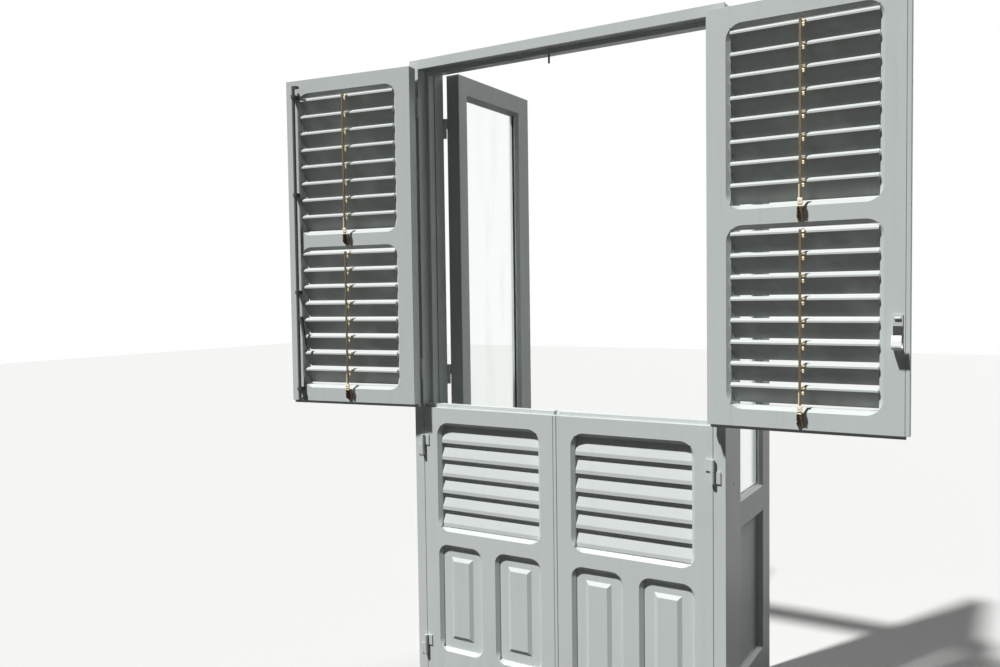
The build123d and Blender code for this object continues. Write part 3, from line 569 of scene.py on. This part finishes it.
def face_mesh(name, outline):
    """A mesh of one flat face in the XY plane."""
    mesh = bpy.data.meshes.new(name)
    mesh.from_pydata([(x, y, 0) for x, y in outline], [], [tuple(range(len(outline)))])
    return mesh


def arc(centre, radius, start, end, steps):
    """Points of an arc, angles in degrees."""
    turns = [math.radians(start + (end - start) * n / steps) for n in range(steps + 1)]
    return [(centre[0] + radius * math.cos(t), centre[1] + radius * math.sin(t)) for t in turns]


print("geometry kit ready")

# %% [markdown]
# ## The louvre slats
# A slat is one long moulding: flat on both sides, with a slim round on the lower edge of its
# nose that throws the rain off and catches the light as two bands. It turns on a pin at each
# end. On its nose stands a brass staple with a small saddle, through which the staple of the
# tilt rod is hooked. The section is drawn once, a tree pushes it to the slat's length, sets the
# pins at both ends and puts the staple on, and the same tree makes all 32.

# %% Slat sizes, from the CAD
SLAT_WIDTH = 67.0 * MM
SLAT_THICKNESS = 15.0 * MM
SLAT_TILT = math.radians(50.0)
NOSE_CHAMFER = 4.5 * MM
NOSE_ROUND = 1.0 * MM
PIN_RADIUS = 3.0 * MM
PIN_LENGTH = 7.0 * MM
LINK_POINT = Vector((37.9, -12.2)) * MM
WIRE_RADIUS = 1.7 * MM
STAPLE_HALF_WIDTH = 4.6 * MM
SADDLE_SIZE = (4.4 * MM, 6.4 * MM, 9.6 * MM)
SADDLE_CENTRE = (SLAT_WIDTH / 2 + 1.1 * MM, -4.2 * MM, 0)
SLAT_STAPLE_PLACE = -5.6 * MM
ROD_STAPLE_PLACE = -2.6 * MM


def slat_outline():
    """The section of a slat: x to the nose, y to the upper side, with rounded arrises."""
    w, h, c, r = SLAT_WIDTH / 2, SLAT_THICKNESS / 2, NOSE_CHAMFER, NOSE_ROUND
    points = arc((w - r, h - r), r, 0, 90, 3)
    points += [(-w + c, h), (-w + 0.35 * c, h - 0.35 * c), (-w, h - c)]
    points += arc((-w + r, -h + r), r, 180, 270, 3)
    points += arc((w - c - 0.4 * r, -h + 1.0 * r), 1.0 * r, 270, 315, 2)
    points += arc((w - 1.4 * r, -h + c), 1.4 * r, 315, 360, 2)
    return points


slat_section = face_mesh("slat_section", slat_outline())
print("slat outline has", len(slat_section.vertices), "points")


# %% Staple prototypes
def wire_loop(name, points, radius, material):
    """A bent wire through a list of points, as a mesh prototype."""
    curve = bpy.data.curves.new(name, "CURVE")
    curve.dimensions = "3D"
    curve.bevel_depth = radius
    curve.bevel_resolution = 1
    curve.use_fill_caps = True
    curve.resolution_u = 3
    spline = curve.splines.new("POLY")
    spline.points.add(len(points) - 1)
    for point, place in zip(spline.points, points):
        point.co = (*place, 1)
    holder = placed(name, curve)
    bpy.context.view_layer.update()
    evaluated = holder.evaluated_get(bpy.context.evaluated_depsgraph_get())
    mesh = bpy.data.meshes.new_from_object(evaluated)
    bpy.data.objects.remove(holder)
    mesh.materials.clear()
    mesh.materials.append(material)
    for polygon in mesh.polygons:
        polygon.use_smooth = True
    return placed(name, mesh)


def softened_blocks(name, blocks, materials):
    """One mesh of blocks with rounded edges, each (size, centre, rounding, material number)."""
    whole = bmesh.new()
    for size, centre, rounding, finish in blocks:
        shape = bmesh.new()
        bmesh.ops.create_cube(shape, size=1.0)
        bmesh.ops.scale(shape, vec=size, verts=shape.verts)
        bmesh.ops.bevel(shape, geom=shape.edges[:], offset=rounding, segments=2, profile=0.6,
                        affect="EDGES")
        bmesh.ops.translate(shape, vec=centre, verts=shape.verts)
        for face in shape.faces:
            face.material_index = finish
        piece = mesh_of(shape, name)
        whole.from_mesh(piece)
        bpy.data.meshes.remove(piece)
    mesh = mesh_of(whole, name)
    for material in materials:
        mesh.materials.append(material)
    return placed(name, mesh)


def joined(name, pieces):
    """One object out of several, each keeping its own finish."""
    for piece in bpy.context.selected_objects:
        piece.select_set(False)
    for piece in pieces:
        piece.select_set(True)
    bpy.context.view_layer.objects.active = pieces[0]
    bpy.ops.object.join()
    pieces[0].name = name
    pieces[0].data.name = name
    return pieces[0]


def slat_staple_points():
    """The staple of a slat: two legs out of the nose, hanging to a crown round the link point."""
    nose = SLAT_WIDTH / 2
    x, y = LINK_POINT
    half = STAPLE_HALF_WIDTH
    leg = [(nose - 4.0 * MM, -2.0 * MM), (nose + 0.1 * MM, -2.6 * MM), (nose + 1.9 * MM, -4.4 * MM),
           (nose + 2.8 * MM, -7.0 * MM), (x - 0.5 * MM, y + 2.6 * MM)]
    turns = [math.radians(t) for t in range(0, 181, 30)]
    crown = [(x + 0.3 * MM, y + 1.2 * MM - half * 0.6 * math.sin(t), half * math.cos(t))
             for t in turns]
    down = [(px, py, half) for px, py in leg]
    return down + crown + [(px, py, -half) for px, py in reversed(leg)]


slat_staple = wire_loop("slat_staple", slat_staple_points(), WIRE_RADIUS, staple_brass)
saddle = softened_blocks("saddle", [(SADDLE_SIZE, SADDLE_CENTRE, 1.2 * MM, 0)], [staple_brass])
slat_staple = joined("slat_staple", [slat_staple, saddle])
print("staple has", len(slat_staple.data.vertices), "points")

# %% The slat tree
slat_tree, given, slat_result = new_tree("louvre slat", [
    ("Length", "NodeSocketFloat", 0.406), ("Pin Radius", "NodeSocketFloat", PIN_RADIUS),
    ("Pin Length", "NodeSocketFloat", PIN_LENGTH),
    ("Staple Place", "NodeSocketFloat", SLAT_STAPLE_PLACE),
    ("Staple", "NodeSocketObject", None), ("Paint", "NodeSocketMaterial", None),
    ("Metal", "NodeSocketMaterial", None),
])
half_length = maths(slat_tree, "MULTIPLY", given["Length"], 0.5)
offset = vector(slat_tree, Z=given["Length"])
back = vector(slat_tree, Z=maths(slat_tree, "MULTIPLY", half_length, -1.0))
pushed = put(slat_tree, "GeometryNodeExtrudeMesh", {"mode": "FACES"}, Mesh=given["Geometry"],
             Offset=offset, Individual=False)
turned_cap = put(slat_tree, "GeometryNodeFlipFaces", Mesh=given["Geometry"])
board = put(slat_tree, "GeometryNodeJoinGeometry")
slat_tree.links.new(pushed.outputs["Mesh"], board.inputs[0])
slat_tree.links.new(turned_cap.outputs[0], board.inputs[0])
welded = put(slat_tree, "GeometryNodeMergeByDistance", Geometry=board.outputs[0],
             Distance=0.00001)
centred = put(slat_tree, "GeometryNodeTransform", Geometry=welded.outputs[0], Translation=back)
pin = put(slat_tree, "GeometryNodeMeshCylinder", Vertices=20, Radius=given["Pin Radius"],
          Depth=given["Pin Length"])
pin_reach = maths(slat_tree, "ADD", half_length,
                  maths(slat_tree, "MULTIPLY", given["Pin Length"], 0.5))
low_point = vector(slat_tree, Z=maths(slat_tree, "MULTIPLY", pin_reach, -1.0))
pin_step = vector(slat_tree, Z=maths(slat_tree, "MULTIPLY", pin_reach, 2.0))
pin_points = put(slat_tree, "GeometryNodeMeshLine", Count=2, Start_Location=low_point,
                 Offset=pin_step)
pins = copies(slat_tree, pin_points.outputs[0], pin.outputs["Mesh"])
staple_point = put(slat_tree, "GeometryNodeMeshLine", Count=1,
                   Start_Location=vector(slat_tree, Z=given["Staple Place"]))
staples = copies(slat_tree, staple_point.outputs[0], drawn(slat_tree, given["Staple"]))
slat_join = put(slat_tree, "GeometryNodeJoinGeometry")
for part in (centred.outputs[0], marked(slat_tree, pins, "metal"),
             marked(slat_tree, staples, "metal")):
    slat_tree.links.new(part, slat_join.inputs[0])
slat_real = real(slat_tree, slat_join.outputs[0])
slat_painted = finished(slat_tree, slat_real, given["Paint"], "metal", unmarked=True)
slat_tree.links.new(finished(slat_tree, slat_painted, given["Metal"], "metal"), slat_result)
print("slat tree has", len(slat_tree.nodes), "nodes")


# %% Make the 32 slats
def pivot_axes(joint):
    """A slat's directions: to the nose, to the upper side, along the pins and level out."""
    along = Vector(joint["axis"]).normalized()
    out = UP.cross(along)
    nose = out * math.cos(SLAT_TILT) + UP * math.sin(SLAT_TILT)
    top_side = -out * math.sin(SLAT_TILT) + UP * math.cos(SLAT_TILT)
    return nose, top_side, along, out


def span_along(node_name, origin, direction):
    """How far a CAD node reaches on each side of a point, along a direction."""
    reach = [(vertex.co - origin).dot(direction) for vertex in nodes[node_name].data.vertices]
    return min(reach), max(reach)


def place_matrix(x_axis, y_axis, z_axis, origin):
    """The matrix that puts a drawn piece where its three directions and origin say."""
    return Matrix.Translation(origin) @ Matrix((x_axis, y_axis, z_axis)).transposed().to_4x4()


slat_names = [name for name in nodes if "_slat_" in name]
for node_name in slat_names:
    pivot = joints[node_name + "_pivot"]
    origin = Vector(pivot["pos_m"])
    nose, top_side, along, out = pivot_axes(pivot)
    low, high = span_along(node_name, origin, along)
    middle = origin + along * (low + high) / 2
    slat = grow(node_name + "_look", slat_section, slat_tree, {
        "Length": high - low - 2 * PIN_LENGTH, "Staple": slat_staple, "Metal": staple_brass,
        "Paint": slat_paint["left" if "_left_" in node_name else "right"],
    }, place_matrix(nose, top_side, along, middle))
    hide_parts(node_name)
    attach(slat, node_name)
print("slats:", len(slat_names), "each", len(slat.data.polygons), "faces")

# %% [markdown]
# ## The tilt rods
# Each bank of slats is tilted by a flat brass rod on the room side. A staple hooks it to every
# slat, and at its lower end a folded grip is screwed on, which a finger lifts. The tree draws
# the rod from its length, repeats the staple at the pitch of the slats, and adds the grip with
# its screw.

# %% Rod sizes
ROD_WIDTH = 6.6 * MM
ROD_THICKNESS = 4.0 * MM
ROD_STANDOFF = 9.0 * MM
HOOK_RADIUS = 1.4 * MM
GRIP_WIDTH = 14.0 * MM
GRIP_HEIGHT = 24.0 * MM
GRIP_THICKNESS = 7.0 * MM


def rod_staple_points():
    """The rod's staple: out of the rod, round the link point in the slat's staple, and back."""
    face = ROD_STANDOFF - ROD_THICKNESS / 2
    loop = arc((0.9 * MM, 0), 2.6 * MM, 70, 290, 8)
    ends = [(face + 1.5 * MM, 2.6 * MM, 0), (face + 1.5 * MM, -2.6 * MM, 0)]
    return ends[:1] + [(x, y, 0) for x, y in loop] + ends[1:]


# Below each hook a bent clip ties the rod to the staple: the lower of the two bright spots.
hook = wire_loop("hook", rod_staple_points(), HOOK_RADIUS, staple_brass)
clip = softened_blocks("clip", [
    ((5.4 * MM, 10.0 * MM, 6.8 * MM), (3.4 * MM, -13.0 * MM, -4.8 * MM), 1.0 * MM, 0),
    ((2.2 * MM, 3.0 * MM, 10.0 * MM), (6.2 * MM, -10.4 * MM, -2.0 * MM), 0.6 * MM, 0),
], [staple_brass])
rod_staple = joined("rod_staple", [hook, clip])

# The grip is a folded plate, rubbed bright by fingers: a thick body, a thin toe with a rolled
# lip to lift it by, and a strap that runs up the face of the rod.
grip_half = GRIP_HEIGHT / 2
grip_body = ((GRIP_THICKNESS, GRIP_HEIGHT * 0.7, GRIP_WIDTH), (0, grip_half * 0.3, 0), 1.6 * MM, 0)
grip_toe = ((GRIP_THICKNESS * 0.6, GRIP_HEIGHT * 0.42, GRIP_WIDTH * 0.76),
            (0, -grip_half * 0.58, 0), 0.8 * MM, 1)
grip_lip = ((3.0 * MM, 3.0 * MM, GRIP_WIDTH * 0.8),
            (GRIP_THICKNESS / 2 - 1.0 * MM, -grip_half + 2.2 * MM, 0), 0.9 * MM, 0)
grip_strap = ((1.6 * MM, 40.0 * MM, 3.0 * MM),
              (ROD_THICKNESS / 2 + 0.2 * MM, grip_half + 18.0 * MM, 2.4 * MM), 0.5 * MM, 0)
grip_block = softened_blocks("grip_block", [grip_body, grip_toe, grip_lip, grip_strap],
                             [staple_brass, grip_brass])
print("rod prototypes ready")


# %% A slotted screw head
SLOT_WIDTH = 0.9 * MM
SLOT_DEPTH = 0.5 * MM
HEAD_RINGS = ((1.0, 0.0), (0.96, 0.45), (0.80, 0.80), (0.50, 0.97))  # share of radius, height


def screw_head(name, radius, height, material):
    """A domed head with a slot, standing on the XY plane, as a mesh prototype."""
    shape = bmesh.new()
    count = 16
    rows = []
    for share, level in HEAD_RINGS:
        rows.append([shape.verts.new((radius * share * math.cos(2 * math.pi * n / count),
                                      radius * share * math.sin(2 * math.pi * n / count),
                                      height * level))
                     for n in range(count)])
    for lower, upper in zip(rows, rows[1:]):
        for n in range(count):
            shape.faces.new((lower[n], lower[(n + 1) % count], upper[(n + 1) % count], upper[n]))
    shape.faces.new(rows[-1])
    shape.faces.new(list(reversed(rows[0])))
    # The slot is a dark block set in the dome: painted shade in place of a cut groove.
    slot = bmesh.ops.create_cube(shape, size=1.0)["verts"]
    bmesh.ops.scale(shape, vec=(radius * 1.72, SLOT_WIDTH, SLOT_DEPTH), verts=slot)
    bmesh.ops.translate(shape, vec=(0, 0, height * 0.93), verts=slot)
    mesh = mesh_of(shape, name)
    mesh.materials.append(material)
    mesh.materials.append(dark_iron_and_slot_shade)
    slot_shade_mark = mesh.attributes.new("slot", "BOOLEAN", "FACE")
    for polygon in mesh.polygons[-6:]:  # the six faces of the slot's block, made last
        polygon.material_index = 1
        slot_shade_mark.data[polygon.index].value = True
    return placed(name, mesh)


painted_screw = screw_head("painted_screw", 3.6 * MM, 1.3 * MM, iron_paint)
brass_screw = screw_head("brass_screw", 3.4 * MM, 1.4 * MM, staple_brass)
print("screw heads ready")

# %% The rod tree
SCREW_TILT = (0.5, math.pi / 2, 0)

rod_tree, given, rod_result = new_tree("tilt rod", [
    ("Length", "NodeSocketFloat", 0.5), ("Over", "NodeSocketFloat", 0.005),
    ("Pitch", "NodeSocketFloat", 0.0635), ("Count", "NodeSocketInt", 8),
    ("Width", "NodeSocketFloat", ROD_WIDTH), ("Thickness", "NodeSocketFloat", ROD_THICKNESS),
    ("Standoff", "NodeSocketFloat", ROD_STANDOFF),
    ("Staple Place", "NodeSocketFloat", ROD_STAPLE_PLACE),
    ("Grip Height", "NodeSocketFloat", GRIP_HEIGHT), ("Staple", "NodeSocketObject", None),
    ("Grip", "NodeSocketObject", None), ("Screw", "NodeSocketObject", None),
    ("Metal", "NodeSocketMaterial", None),
])
bar_size = vector(rod_tree, X=given["Thickness"], Y=given["Length"], Z=given["Width"])
bar = put(rod_tree, "GeometryNodeMeshCube", Size=bar_size)
bar_drop = maths(rod_tree, "SUBTRACT", given["Over"],
                 maths(rod_tree, "MULTIPLY", given["Length"], 0.5))
bar_set = put(rod_tree, "GeometryNodeTransform", Geometry=bar.outputs["Mesh"],
              Translation=vector(rod_tree, X=given["Standoff"], Y=bar_drop))
staple_step = vector(rod_tree, Y=maths(rod_tree, "MULTIPLY", given["Pitch"], -1.0))
staple_line = put(rod_tree, "GeometryNodeMeshLine", Count=given["Count"],
                  Start_Location=vector(rod_tree, Z=given["Staple Place"]), Offset=staple_step)
rod_staples = copies(rod_tree, staple_line.outputs[0], drawn(rod_tree, given["Staple"]))
grip_drop = maths(rod_tree, "SUBTRACT", maths(rod_tree, "SUBTRACT", given["Over"], given["Length"]),
                  maths(rod_tree, "MULTIPLY", given["Grip Height"], 0.5))
grip_set = put(rod_tree, "GeometryNodeTransform", Geometry=drawn(rod_tree, given["Grip"]),
               Translation=vector(rod_tree, X=given["Standoff"], Y=grip_drop))
screw_out = maths(rod_tree, "ADD", given["Standoff"], GRIP_THICKNESS / 2)
screw_rise = maths(rod_tree, "ADD", grip_drop, GRIP_HEIGHT * 0.15)
screw_set = put(rod_tree, "GeometryNodeTransform", Geometry=drawn(rod_tree, given["Screw"]),
                Translation=vector(rod_tree, X=screw_out, Y=screw_rise), Rotation=SCREW_TILT)
rod_join = put(rod_tree, "GeometryNodeJoinGeometry")
for part in (marked(rod_tree, bar_set.outputs[0], "bar"), rod_staples,
             grip_set.outputs[0], screw_set.outputs[0]):
    rod_tree.links.new(part, rod_join.inputs[0])
rod_real = real(rod_tree, rod_join.outputs[0])
rod_tree.links.new(finished(rod_tree, rod_real, given["Metal"], "bar"), rod_result)
print("rod tree has", len(rod_tree.nodes), "nodes")

# %% Make the four rods
empty_mesh = bpy.data.meshes.new("empty_start")
rod_names = [name for name in nodes if name.endswith("_rod") and name.startswith("shutter")]
for node_name in rod_names:
    bank = node_name[: -len("_rod")]
    origin = Vector(joints[node_name + "_link"]["pos_m"])
    first = Vector(joints[bank + "_slat_1_pivot"]["pos_m"])
    second = Vector(joints[bank + "_slat_2_pivot"]["pos_m"])
    count = len([name for name in slat_names if name.startswith(bank)])
    along, out = pivot_axes(joints[bank + "_slat_1_pivot"])[2:]
    origin = origin - along * (origin - first).dot(along)
    low, high = span_along(node_name, origin, UP)
    rod = grow(node_name + "_look", empty_mesh, rod_tree, {
        "Length": high - low - GRIP_HEIGHT, "Over": high, "Pitch": (first - second).length,
        "Count": count, "Staple": rod_staple, "Grip": grip_block, "Screw": brass_screw,
        "Metal": rod_brass,
    }, place_matrix(out, UP, along, origin))
    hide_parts(node_name)
    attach(rod, node_name)
print("rods:", len(rod_names), "each", len(rod.data.polygons), "faces")

# %% [markdown]
# ## Screws
# The hinge plates of the casements and the shutters are held by slotted screws, painted over
# with the rest. None show on the half doors. The places are points that carry a facing
# direction, and one tree sets a head on each, turned by chance, because no fitter lines the
# slots up.

# %% The screw tree
screw_tree, given, screw_result = new_tree("screws", [
    ("Head", "NodeSocketObject", None), ("Finish", "NodeSocketMaterial", None),
    ("Seed", "NodeSocketInt", 3),
])
facing = put(screw_tree, "GeometryNodeInputNamedAttribute", {"data_type": "FLOAT_VECTOR"},
             Name="facing")
turn = put(screw_tree, "FunctionNodeRandomValue", {"data_type": "FLOAT"}, Seed=given["Seed"],
           i2=0.0, i3=math.pi)
aligned = put(screw_tree, "FunctionNodeAlignEulerToVector", {"axis": "Z"},
              Vector=facing.outputs[0])
turned = put(screw_tree, "FunctionNodeRotateEuler", {"space": "LOCAL"},
             Rotation=aligned.outputs[0], Rotate_By=vector(screw_tree, Z=turn.outputs[1]))
heads = real(screw_tree, copies(screw_tree, given["Geometry"], drawn(screw_tree, given["Head"]),
                                Rotation=turned.outputs[0]))
# Slot faces keep their black, which is painted shade; the rest takes the finish.
screw_tree.links.new(finished(screw_tree, heads, given["Finish"], "slot", unmarked=True),
                     screw_result)
print("screw tree has", len(screw_tree.nodes), "nodes")


# %% Set screws for a body
def points_mesh(name, places):
    """Points that each carry the direction they face."""
    mesh = bpy.data.meshes.new(name)
    mesh.from_pydata([place for place, _ in places], [], [])
    directions = mesh.attributes.new("facing", "FLOAT_VECTOR", "POINT")
    for value, (_, direction) in zip(directions.data, places):
        value.vector = direction
    return mesh


def set_screws(name, body, places, seed=3):
    """One mesh of painted screw heads that moves with a body."""
    screws = grow(name, points_mesh(name + "_points", places), screw_tree,
                  {"Head": painted_screw, "Seed": seed, "Finish": iron_paint})
    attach(screws, body)


def opened(leaf, side):
    """How a leaf goes from shut to where it stands open: mirrored if right, then swung."""
    joint = joints[f"{leaf}_{side}_hinge"]
    axis_place = Vector(joint["pos_m"])
    low, high = joint["range_deg"]
    shut_turn = high if abs(high) > abs(low) else low
    turn_open = Matrix.Rotation(math.radians(-shut_turn), 4, "Z")
    swing = Matrix.Translation(axis_place) @ turn_open @ Matrix.Translation(-axis_place)
    mirror = Matrix.Diagonal((-1, 1, 1, 1)) if side == "right" else Matrix.Identity(4)
    return swing @ mirror


def moved(places, matrix):
    """Places and facings carried by a matrix."""
    turn_only = matrix.to_3x3()
    return [(matrix @ Vector(place), turn_only @ Vector(direction)) for place, direction in places]


HINGE_X = abs(joints["shutter_left_hinge"]["pos_m"][0])
HINGE_PLATE = 4.0 * MM
PLATE_WIDTH = 24.0 * MM
PLATE_SHARE = 0.62
SCREW_STEP = 10.5 * MM
BARREL_HALF = 37.25 * MM
BARREL_GAP = 0.25 * MM
SHUTTER_HINGES = (1.203, 2.165)
CASEMENT_HINGES = (0.224, 1.170, 2.116)
FRAME_DEPTH = 160.0 * MM


def plate_screws(heights, face_y, out, toward, upper):
    """Two screws on each hinge plate: upper half on the leaf, lower half on the frame."""
    places = []
    for height in heights:
        middle = height + (BARREL_HALF / 2 + BARREL_GAP) * (1 if upper else -1)
        for step in (-1, 1):
            x = -HINGE_X + toward * (PLATE_WIDTH * PLATE_SHARE)
            place = (x, face_y + out * HINGE_PLATE, middle + step * SCREW_STEP)
            places.append((place, (0, out, 0)))
    return places


def mirrored(places):
    """The same places on the other side of the window."""
    return [((-x, y, z), (-dx, dy, dz)) for (x, y, z), (dx, dy, dz) in places]


frame_places = plate_screws(CASEMENT_HINGES, FRAME_DEPTH, 1, -1, False)
set_screws("frame_screws", "frame", frame_places + mirrored(frame_places))
for side in ("left", "right"):
    shutter_places = plate_screws(SHUTTER_HINGES, 0, -1, 1, True)
    set_screws(f"shutter_{side}_screws", f"shutter_{side}",
               moved(shutter_places, opened("shutter", side)), 5)
    casement_places = plate_screws(CASEMENT_HINGES, FRAME_DEPTH, 1, 1, True)
    set_screws(f"casement_{side}_screws", f"casement_{side}",
               moved(casement_places, opened("casement", side)), 8)
print("hinge screws set")

# %% [markdown]
# ## The keeper
# The lever of the bolt drops into this on the right shutter. It is a strip of bright metal bent
# into a hook below, whose leaning tongue the sun picks out white, and the near-white of that metal
# is partly a painted highlight. Behind the tongue a black sheet is painted shade in the hollow of
# the hook, and a small eye stands above. The bent strip is a centre line with rounded corners,
# given a thickness, and pushed to its width.

# %% The bent strip
KEEPER_INSET = 24.0 * MM
KEEPER_WIDTH = 26.0 * MM
KEEPER_BOTTOM = 1.311
KEEPER_TOP = 1.406
KEEPER_LIP_TOP = 1.350
KEEPER_FACE = 45.0 * MM
KEEPER_ROOM = 25.0 * MM
KEEPER_THICK = 3.6 * MM
KEEPER_LEAN = 5.5 * MM
KEEPER_BEND = 9.0 * MM
EYE_DROP = 11 * MM
EYE_RADIUS = 5.0 * MM
EYE_HALF_WIDTH = 8 * MM

# The black iron is painted shade for the hollow behind the tongue.
shade_black_iron = metal("black iron painted shade", (0.06, 0.06, 0.058), (0.02, 0.02, 0.019), 0.45, 0.5, 0.2)
# The near-white zinc is partly a painted highlight on the tongue.
bright_zinc_and_highlight = metal("bright zinc and painted highlight", (0.86, 0.87, 0.86), (0.80, 0.81, 0.80), 0.34, 0.3, 0.3)


def bent_strip(centre_line, thickness):
    """The outline of a strip of even thickness that follows a centre line in one plane."""
    line = [Vector(point) for point in centre_line]
    sides = ([], [])
    for n, point in enumerate(line):
        before, after = line[max(n - 1, 0)], line[min(n + 1, len(line) - 1)]
        along = (after - before).normalized()
        across = Vector((-along.y, along.x)) * thickness / 2
        sides[0].append(point + across)
        sides[1].append(point - across)
    return sides[0] + sides[1][::-1]


def pushed_outline(name, outline, x_low, x_high, material, rounding=0.6 * MM):
    """A solid whose outline in Y and Z is pushed along X, with softened edges."""
    shape = bmesh.new()
    face = shape.faces.new([shape.verts.new((x_low, y, z)) for y, z in outline])
    grown = bmesh.ops.extrude_face_region(shape, geom=[face])["geom"]
    far_side = [item for item in grown if isinstance(item, bmesh.types.BMVert)]
    bmesh.ops.translate(shape, vec=(x_high - x_low, 0, 0), verts=far_side)
    bmesh.ops.recalc_face_normals(shape, faces=shape.faces[:])
    rims = [edge for edge in shape.edges if abs(edge.verts[0].co.x - edge.verts[1].co.x) < 1e-7]
    bmesh.ops.bevel(shape, geom=rims, offset=rounding, segments=2, profile=0.6, affect="EDGES")
    mesh = mesh_of(shape, name)
    mesh.materials.append(material)
    return placed(name, mesh)


back_line = KEEPER_FACE + KEEPER_THICK / 2
front_line = KEEPER_FACE + KEEPER_ROOM + KEEPER_THICK * 1.2 + KEEPER_LEAN
low_line = KEEPER_BOTTOM + KEEPER_THICK / 2
bend = KEEPER_BEND
hook_line = [(back_line, KEEPER_TOP), (back_line, low_line + bend)]
for t in (20, 40, 60, 80, 90):
    hook_line.append((back_line + bend - bend * math.cos(math.radians(t)),
                      low_line + bend - bend * math.sin(math.radians(t))))
for t in (10, 30, 50, 70, 90):
    hook_line.append((front_line - bend + bend * math.sin(math.radians(t)),
                      low_line + bend - bend * math.cos(math.radians(t))))
hook_line += [(front_line - KEEPER_LEAN * 0.3, KEEPER_LIP_TOP - 16 * MM),
              (front_line - KEEPER_LEAN, KEEPER_LIP_TOP)]
x_mid = -KEEPER_INSET
x_half = KEEPER_WIDTH / 2
face_line = KEEPER_FACE + KEEPER_THICK
strip = pushed_outline("keeper_strip", bent_strip(hook_line, KEEPER_THICK), x_mid - x_half,
                       x_mid + x_half, bright_zinc_and_highlight, 0.8 * MM)
strip.data.materials.append(iron_paint)
# Front faces below the lip top keep the near-white metal, which is partly painted highlight.
for polygon in strip.data.polygons:
    centre = polygon.center
    polygon.material_index = 1 if centre.z > KEEPER_LIP_TOP or centre.y < face_line else 0
# A black sheet behind the tongue: painted shade in the hollow of the hook.
lining_low, lining_high = KEEPER_LIP_TOP - 20 * MM, KEEPER_LIP_TOP + 25 * MM
lining_back, lining_front = face_line - 0.4 * MM, face_line + 1.4 * MM
lining_outline = [(lining_back, lining_low), (lining_front, lining_low),
                  (lining_front, lining_high), (lining_back, lining_high)]
shade_lining = pushed_outline("keeper_lining", lining_outline, x_mid - x_half + 1 * MM,
                        x_mid + x_half - 1 * MM, shade_black_iron)
eye_outline = arc((face_line, KEEPER_TOP - EYE_DROP), EYE_RADIUS, -90, 90, 8)
eye = pushed_outline("keeper_eye", eye_outline, x_mid - EYE_HALF_WIDTH, x_mid + EYE_HALF_WIDTH,
                     iron_paint)
keeper = joined("keeper_look", [strip, shade_lining, eye])
keeper.data.transform(opened("shutter", "right"))
keeper.data.flip_normals()  # the transform mirrors, so the faces are turned out again
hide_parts("bolt_keeper")
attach(keeper, "shutter_right")
print("keeper has", len(keeper.data.polygons), "faces")

# %% [markdown]
# ## Leaving a clean table
# The drawn prototypes are not part of the window, so they go before the end.

# %% Remove prototypes
for prototype in (slat_staple, rod_staple, grip_block, painted_screw, brass_screw):
    bpy.data.objects.remove(prototype)
